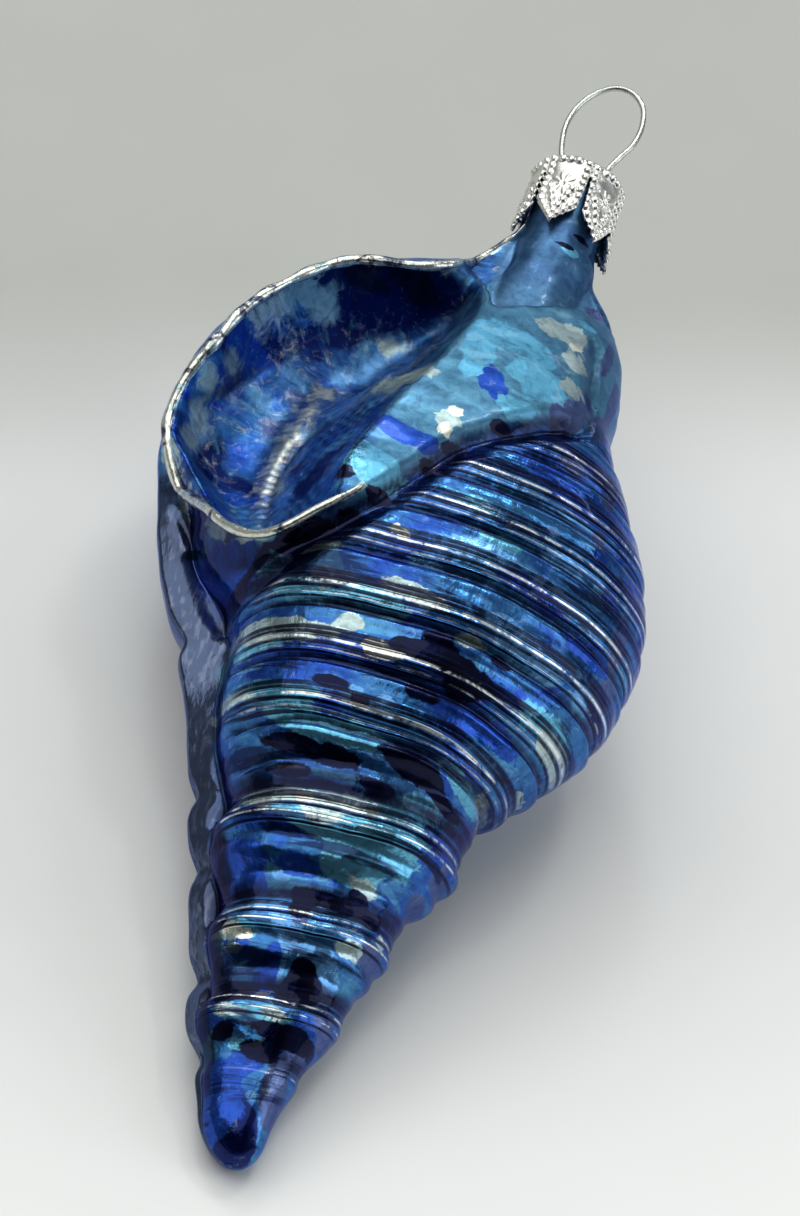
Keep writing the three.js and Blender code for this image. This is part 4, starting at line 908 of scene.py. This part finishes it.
    # Painted shade in the grooves, sutures and creases, a little broken by a noise
    grooveShade = times(tree, shareOf("grooveShare"), rangeOf(tree, middle, 0.3, 0.6, 1.0, 0.75))
    colour = mixColours(tree, grooveShade, colour, lacquer["black"])
    tree.links.new(colour, shader.inputs["Base Color"])
    rough = plus(tree, rangeOf(tree, middle, 0.35, 0.7, 0.14, 0.28), times(tree, bowl, 0.24))
    rough = plus(tree, rough, times(tree, doMath(tree, "MAXIMUM", pad, neck), 0.2))
    tree.links.new(rough, shader.inputs["Roughness"])
    shader.inputs["Metallic"].default_value = 0.85
    tree.links.new(rangeOf(tree, bowl, 0, 1, 0.18, 0.08), shader.inputs["Coat Weight"])
    shader.inputs["Coat Roughness"].default_value = 0.025
    shader.inputs["Coat IOR"].default_value = 1.5
    shader.inputs["Specular Tint"].default_value = (0.35, 0.45, 0.95, 1)
    striae = times(tree, striae, calm)
    smoothed = less(tree, 1.0, times(tree, doMath(tree, "MAXIMUM", pad, neck), 0.7))
    swell = noiseOf(tree, place, 230, 2, 0.5)
    grain = noiseOf(tree, place, 900, 3, 0.55)
    height = plus(tree, times(tree, swell, 1.0), times(tree, grain, 0.16))
    height = plus(tree, height, times(tree, lines, 0.06))
    height = plus(tree, times(tree, height, smoothed), times(tree, striae, 0.16))
    height = plus(tree, height, times(tree, highlightLines, 0.16))
    height = less(tree, height, times(tree, shadeAndDarkReflectionLines, 0.22))
    bump = addNode(tree, "ShaderNodeBump", {}, Strength=0.6, Distance=0.0006, Height=height)
    tree.links.new(bump.outputs[0], shader.inputs["Normal"])
    return material


metal = {
    "wire": (0.56, 0.58, 0.54, 1), "wireDull": (0.34, 0.35, 0.33, 1),
    "cap": (0.95, 0.94, 0.88, 1), "capDull": (0.68, 0.67, 0.62, 1), "capRecess": (0.50, 0.50, 0.46, 1),
}
metalGroup = handledMetalGroup()


def metalOf(name, bright, dull, wear, scale, gloss, recess=None):
    # The shared handled metal with a bump, and darker where the stamped recess is deep
    material, tree, shader = newMaterial(name)
    values = {"Bright": bright, "Dull": dull, "Wear": wear, "Scale": scale, "Gloss": gloss}
    handled = addNode(tree, "ShaderNodeGroup", {"node_tree": metalGroup}, **values).outputs
    colour = handled["Colour"]
    if recess:
        low = addNode(tree, "ShaderNodeAttribute", {"attribute_name": "recessShare"}).outputs["Fac"]
        colour = mixColours(tree, low, colour, recess)
    tree.links.new(colour, shader.inputs["Base Color"])
    tree.links.new(handled["Roughness"], shader.inputs["Roughness"])
    shader.inputs["Metallic"].default_value = 1.0
    bump = addNode(tree, "ShaderNodeBump", {}, Strength=0.35, Distance=0.00012, Height=handled["Height"])
    tree.links.new(bump.outputs[0], shader.inputs["Normal"])
    return material


# The wire loop
wire = {
    "path": [
        [-2.5, 124], [-2.3, 129], [-2.4, 133.2], [-3.4, 136.6], [-3.8, 139.8], [-3.2, 142.9], [-1.7, 145.6],
        [0.3, 147.27], [2.4, 147.37], [4.1, 145.8], [4.7, 143], [4.4, 140.3], [3.5, 138.2], [2.6, 135.8],
        [2.3, 133.2], [2.3, 129], [2.5, 124],
    ],
    "radius": 0.345, "steps": 240, "sides": 16,
}


def wireLoop():
    # A circle carried along the wire's path, which lies flat in the shell's own frame, closed at both ends
    path = curvePoints(wire["path"], wire["steps"])
    run = np.gradient(path, axis=0)
    run = run / np.hypot(run[:, 0], run[:, 1])[:, None]
    turn = np.linspace(0, 2 * math.pi, wire["sides"], endpoint=False)
    sideways, upwards = np.cos(turn) * wire["radius"], np.sin(turn) * wire["radius"]
    across = path[:, 0, None] + run[:, 1, None] * sideways[None, :]
    along = path[:, 1, None] - run[:, 0, None] * sideways[None, :]
    height = np.broadcast_to(upwards, across.shape)
    faces = gridFaces(wire["steps"], wire["sides"])[:, ::-1].tolist()
    faces.append(list(range(wire["sides"])))
    faces.append([(wire["steps"] - 1) * wire["sides"] + n for n in range(wire["sides"])][::-1])
    return makeMesh("loopOfWire", toFrame(across, along, height), faces)


# The cap: a thin stamped cup of six pointed petals with beads along their edges and a star on each
cap = {
    "top": 132.7, "tip": 122.4, "radius": 5.42, "topBend": 0.6, "thickness": 0.26, "petals": 6,
    "firstSlit": math.radians(10), "slitTop": 130.4, "notchTop": 125.6, "slitAtTop": 0.10, "slitAtFoot": 0.34,
    "columns": 52, "discRows": 12, "bendRows": 8, "sideRows": 84,
    "beadRadius": 0.47, "beadHeight": 0.40, "beadPitch": 0.98, "beadInset": 0.56, "secondInset": 1.50,
    "starPlace": 128.3, "starRays": 10, "starInner": 0.35, "starOuter": 1.45, "starHeight": 0.16,
    "starWidth": 0.13, "flare": 0.35, "curledPetals": [1, 2], "curl": 0.55,
}


def beadPlaces():
    # Beads at an even pitch along each petal's edge, as place across the petal and along the axis
    half = math.pi * cap["radius"] / cap["petals"]
    places = []
    for inset in (cap["beadInset"], cap["secondInset"]):
        side = half - inset
        down = inset * 1.25
        corner = cap["notchTop"] + down * (1 if inset == cap["beadInset"] else 1.2)
        edge = [[side, cap["top"] - 0.75], [side, corner], [0, cap["tip"] + down]]
        if inset == cap["secondInset"]:
            edge = edge[1:]
        edge = np.array(edge)
        lengths = np.concatenate([[0], np.cumsum(np.hypot(*np.diff(edge, axis=0).T))])
        count = max(int(round(lengths[-1] / cap["beadPitch"])), 1)
        s = np.linspace(0, lengths[-1], count + 1)
        row = np.column_stack([np.interp(s, lengths, edge[:, 0]), np.interp(s, lengths, edge[:, 1])])
        places += row.tolist() + (row[:-1] * [-1, 1]).tolist()
    for x in (-0.95, 0, 0.95):
        places.append([x, cap["top"] - 0.8])
    return np.array(places)


def stampHeight(x, along):
    # Round beads, and a star of thin rays about the middle of the petal
    height = np.zeros_like(x)
    for bead in beadPlaces():
        d = np.hypot(x - bead[0], along - bead[1]) / cap["beadRadius"]
        height = np.maximum(height, cap["beadHeight"] * np.sqrt(np.clip(1 - d**2, 0, 1)))
    reach = np.hypot(x, along - cap["starPlace"])
    turn = np.arctan2(along - cap["starPlace"], x) * cap["starRays"] / (2 * math.pi)
    aside = np.abs(turn - np.round(turn)) * 2 * math.pi / cap["starRays"] * reach
    ray = cap["starHeight"] * np.exp(-((aside / cap["starWidth"])**2))
    ray = ray * smooth(reach, cap["starInner"] * 0.6, cap["starInner"])
    ray = ray * (1 - smooth(reach, cap["starOuter"], cap["starOuter"] + 0.2))
    return np.maximum(height, ray)


def crownCap():
    # Each petal is a grid across and down the cap, lifted by the stamp; the petals share their edges above
    # the slits, and a thin wall is added inside
    n, rows = cap["columns"], cap["sideRows"]
    place = np.linspace(-1, 1, n)
    half = math.pi / cap["petals"]
    points, recess = [], []
    for petal in range(cap["petals"]):
        middle = cap["firstSlit"] + (2 * petal + 1) * half
        disc = np.linspace(0, cap["radius"] - cap["topBend"], cap["discRows"])
        bend = np.linspace(0, math.pi / 2, cap["bendRows"] + 1)[1:]
        low = cap["tip"] + np.abs(place) * (cap["notchTop"] - cap["tip"])
        down = np.linspace(0, 1, rows + 1)[1:, None]
        sideTop = cap["top"] - cap["topBend"]
        radius = np.concatenate([
            np.repeat(disc[:, None], n, axis=1),
            np.repeat((cap["radius"] - cap["topBend"] * (1 - np.sin(bend)))[:, None], n, axis=1),
            np.full((rows, n), cap["radius"]),
        ])
        along = np.concatenate([
            np.full((cap["discRows"], n), cap["top"]),
            np.repeat((cap["top"] - cap["topBend"] * (1 - np.cos(bend)))[:, None], n, axis=1),
            sideTop + (low - sideTop) * down,
        ])
        below = np.clip((cap["slitTop"] - along) / (cap["slitTop"] - cap["notchTop"]), 0, 2)
        slit = np.where(below > 0, mix(cap["slitAtTop"], cap["slitAtFoot"], below), 0)
        slit = slit * smooth(below, 0, 0.05)
        turn = place[None, :] * (half - slit / cap["radius"])
        stamp = stampHeight(turn * cap["radius"], along)
        stamp = stamp * smooth(radius, cap["radius"] - 0.5, cap["radius"] - 0.1)
        flare = cap["flare"] + (cap["curl"] if petal in cap["curledPetals"] else 0)
        dent = 0.10 * wobble(turn * 5 + petal * 7, along, 3.2, 20 + petal) * smooth(radius, 4, 5)
        lift = stamp + dent + flare * np.clip((127.5 - along) / 5.1, 0, 1)**2
        across = (radius + lift) * np.sin(middle + turn)
        height = (radius + lift) * np.cos(middle + turn)
        points.append(toFrame(across, along, height).reshape(-1, 3))
        recess.append((1 - smooth(stamp, 0.0, 0.14)) * smooth(radius, 4.6, 5.1))
    rowCount = cap["discRows"] + cap["bendRows"] + rows
    faces = gridFaces(rowCount, n, False)
    faces = np.concatenate([faces + petal * rowCount * n for petal in range(cap["petals"])])
    piece = makeMesh("crownOfCap", np.concatenate(points), faces.tolist())
    keepShare(piece, "recessShare", np.concatenate([share.ravel() for share in recess]) * 0.55)
    shape = bmesh.new()
    shape.from_mesh(piece.data)
    bmesh.ops.remove_doubles(shape, verts=shape.verts, dist=2e-6)
    bmesh.ops.recalc_face_normals(shape, faces=shape.faces)
    shape.to_mesh(piece.data)
    shape.free()
    piece.data.shade_smooth()
    wall = piece.modifiers.new("wall", "SOLIDIFY")
    wall.thickness = cap["thickness"] * mm
    wall.offset = -1
    return piece


# Camera, floor and light
view = {
    "awayFromNormal": math.radians(30), "roll": math.radians(19.759), "distance": 600.0,
    "aim": (0.0, 70.0, 0.0),
    "pixelsPerMm": 9.0, "imageWidth": 800, "imageHeight": 1216, "aimPixel": (423.9, 620.8),
}


def shellDirection(across, along, height):
    c, s = math.cos(lie["tilt"]), math.sin(lie["tilt"])
    return Vector((across, along * c - height * s, along * s + height * c))


def placeCamera():
    # The camera looks at the aim from the tip's side of the mouth's normal, turned until the axis leans right
    away, roll = view["awayFromNormal"], view["roll"]
    back = shellDirection(0, -math.sin(away), math.cos(away))
    upAxis = shellDirection(0, math.cos(away), math.sin(away))
    sideAxis = shellDirection(1, 0, 0)
    right = sideAxis * math.cos(roll) + upAxis * math.sin(roll)
    up = upAxis * math.cos(roll) - sideAxis * math.sin(roll)
    aim = Vector(toFrame(*(np.array(value) for value in view["aim"])).tolist())
    offRight = (view["aimPixel"][0] - view["imageWidth"] / 2) / view["pixelsPerMm"]
    offDown = (view["aimPixel"][1] - view["imageHeight"] / 2) / view["pixelsPerMm"]
    place = aim + back * (view["distance"] * mm) - right * (offRight * mm) + up * (offDown * mm)
    data = bpy.data.cameras.new("camera")
    data.sensor_fit = "VERTICAL"
    data.sensor_height = 36.0
    data.lens = view["pixelsPerMm"] * view["distance"] * data.sensor_height / view["imageHeight"]
    data.clip_start = 0.01
    data.clip_end = 50
    camera = bpy.data.objects.new("camera", data)
    bpy.context.scene.collection.objects.link(camera)
    camera.matrix_world = Matrix.Translation(place) @ Matrix((right, up, back)).transposed().to_4x4()
    bpy.context.scene.camera = camera


table = {
    "size": 3.0, "near": (0.97, 0.975, 0.94, 1), "middle": (0.79, 0.795, 0.775, 1), "far": (0.47, 0.48, 0.44, 1),
}


def makeFloor():
    # A plain pale table, painted a little greyer away from the viewer: a painted falloff of the light
    size = table["size"]
    points = np.array([[-size, -size, 0], [size, -size, 0], [size, size, 0], [-size, size, 0]])
    floor = makeMesh("floor", points, [[0, 1, 2, 3]])
    material, tree, shader = newMaterial("paleFloor")
    place = addNode(tree, "ShaderNodeTexCoord").outputs["Object"]
    parts = addNode(tree, "ShaderNodeSeparateXYZ", {}, Vector=place).outputs
    away = plus(tree, times(tree, parts["X"], -0.338), times(tree, parts["Y"], 0.685))
    away = plus(tree, away, times(tree, noiseOf(tree, place, 6, 2, 0.5), 0.01))
    near = mixColours(tree, rangeOf(tree, away, -0.065, -0.01), table["near"], table["middle"])
    colour = mixColours(tree, rangeOf(tree, away, 0.022, 0.055), near, table["far"])
    tree.links.new(colour, shader.inputs["Base Color"])
    rough = rangeOf(tree, noiseOf(tree, place, 60, 3, 0.5), 0.3, 0.7, 0.6, 0.75)
    tree.links.new(rough, shader.inputs["Roughness"])
    floor.data.materials.append(material)


# Each light's place, size, radiance and colour; all of them face the part
lights = [
    {"name": "ceilingLight", "place": (-0.62, 0.20, 1.25), "aim": (-0.45, 0.15, 0),
     "size": (2.3, 1.7), "shine": 1.45, "colour": (1.0, 0.995, 0.98)},
    {"name": "windowLight", "place": (-0.30, 0.55, 0.75), "aim": (0, 0, 0),
     "size": (0.13, 0.20), "shine": 9.0, "colour": (0.85, 0.97, 1.0)},
    {"name": "lampLight", "place": (0.10, 0.42, 0.75), "aim": (0, 0, 0),
     "size": (0.10, 0.05), "shine": 30.0, "colour": (1.0, 0.97, 0.88)},
    {"name": "farStrip", "place": (0.0, 0.95, 0.50), "aim": (0, 0, 0),
     "size": (1.8, 0.07), "shine": 5.0, "colour": (1.0, 1.0, 1.0)},
    {"name": "rightLight", "place": (0.95, 0.05, 0.50), "aim": (0, 0, 0),
     "size": (0.50, 0.9), "shine": 1.9, "colour": (0.9, 0.94, 1.0)},
]


def makeLights():
    for light in lights:
        data = bpy.data.lights.new(light["name"], "AREA")
        data.shape = "RECTANGLE"
        data.size, data.size_y = light["size"]
        data.energy = light["shine"] * math.pi * light["size"][0] * light["size"][1]
        data.color = light["colour"]
        lamp = bpy.data.objects.new(light["name"], data)
        bpy.context.scene.collection.objects.link(lamp)
        lamp.location = light["place"]
        towards = Vector(light["aim"]) - Vector(light["place"])
        lamp.rotation_euler = towards.to_track_quat("-Z", "Y").to_euler()


room = {
    "horizon": (0.16, 0.17, 0.18, 1), "overhead": (0.30, 0.31, 0.33, 1), "viewer": (0.02, 0.02, 0.025, 1),
    "viewerWay": (0.0, -0.78, 0.62), "strength": 1.15,
}


def makeSurroundings():
    # A grey room, paler overhead, and dark where the viewer stands
    world = bpy.data.worlds.new("room")
    world.use_nodes = True
    tree = world.node_tree
    tree.nodes.clear()
    way = addNode(tree, "ShaderNodeTexCoord").outputs["Generated"]
    parts = addNode(tree, "ShaderNodeSeparateXYZ", {}, Vector=way).outputs
    colour = mixColours(tree, rangeOf(tree, parts["Z"], 0.2, 0.9), room["horizon"], room["overhead"])
    settings = {"operation": "DOT_PRODUCT"}
    viewer = addNode(tree, "ShaderNodeVectorMath", settings, i0=way, i1=room["viewerWay"])
    colour = mixColours(tree, rangeOf(tree, viewer.outputs["Value"], 0.55, 0.9), colour, room["viewer"])
    shine = addNode(tree, "ShaderNodeBackground", {}, Color=colour, Strength=room["strength"])
    end = tree.nodes.new("ShaderNodeOutputWorld")
    tree.links.new(shine.outputs[0], end.inputs[0])
    bpy.context.scene.world = world


def finishPiece(piece, material, node):
    piece.data.materials.append(material)
    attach(piece, "root")
    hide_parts(node)
    print(piece.name, "made,", len(piece.data.polygons), "faces")


bpy.context.scene.view_settings.view_transform = "Standard"
placeCamera()
makeFloor()
makeLights()
makeSurroundings()
print("camera, floor and light made")

glassLook = lacqueredGlass()
finishPiece(glassShell(), glassLook, "glass_shell")
finishPiece(rimBead(), glassLook, "glass_shell")

wireLook = metalOf("brightWire", metal["wire"], metal["wireDull"], 0.6, 700.0, 0.22)
finishPiece(wireLoop(), wireLook, "wire_loop")

capLook = metalOf("stampedCap", metal["cap"], metal["capDull"], 0.5, 800.0, 0.26, metal["capRecess"])
finishPiece(crownCap(), capLook, "cap")

bpy.context.view_layer.update()
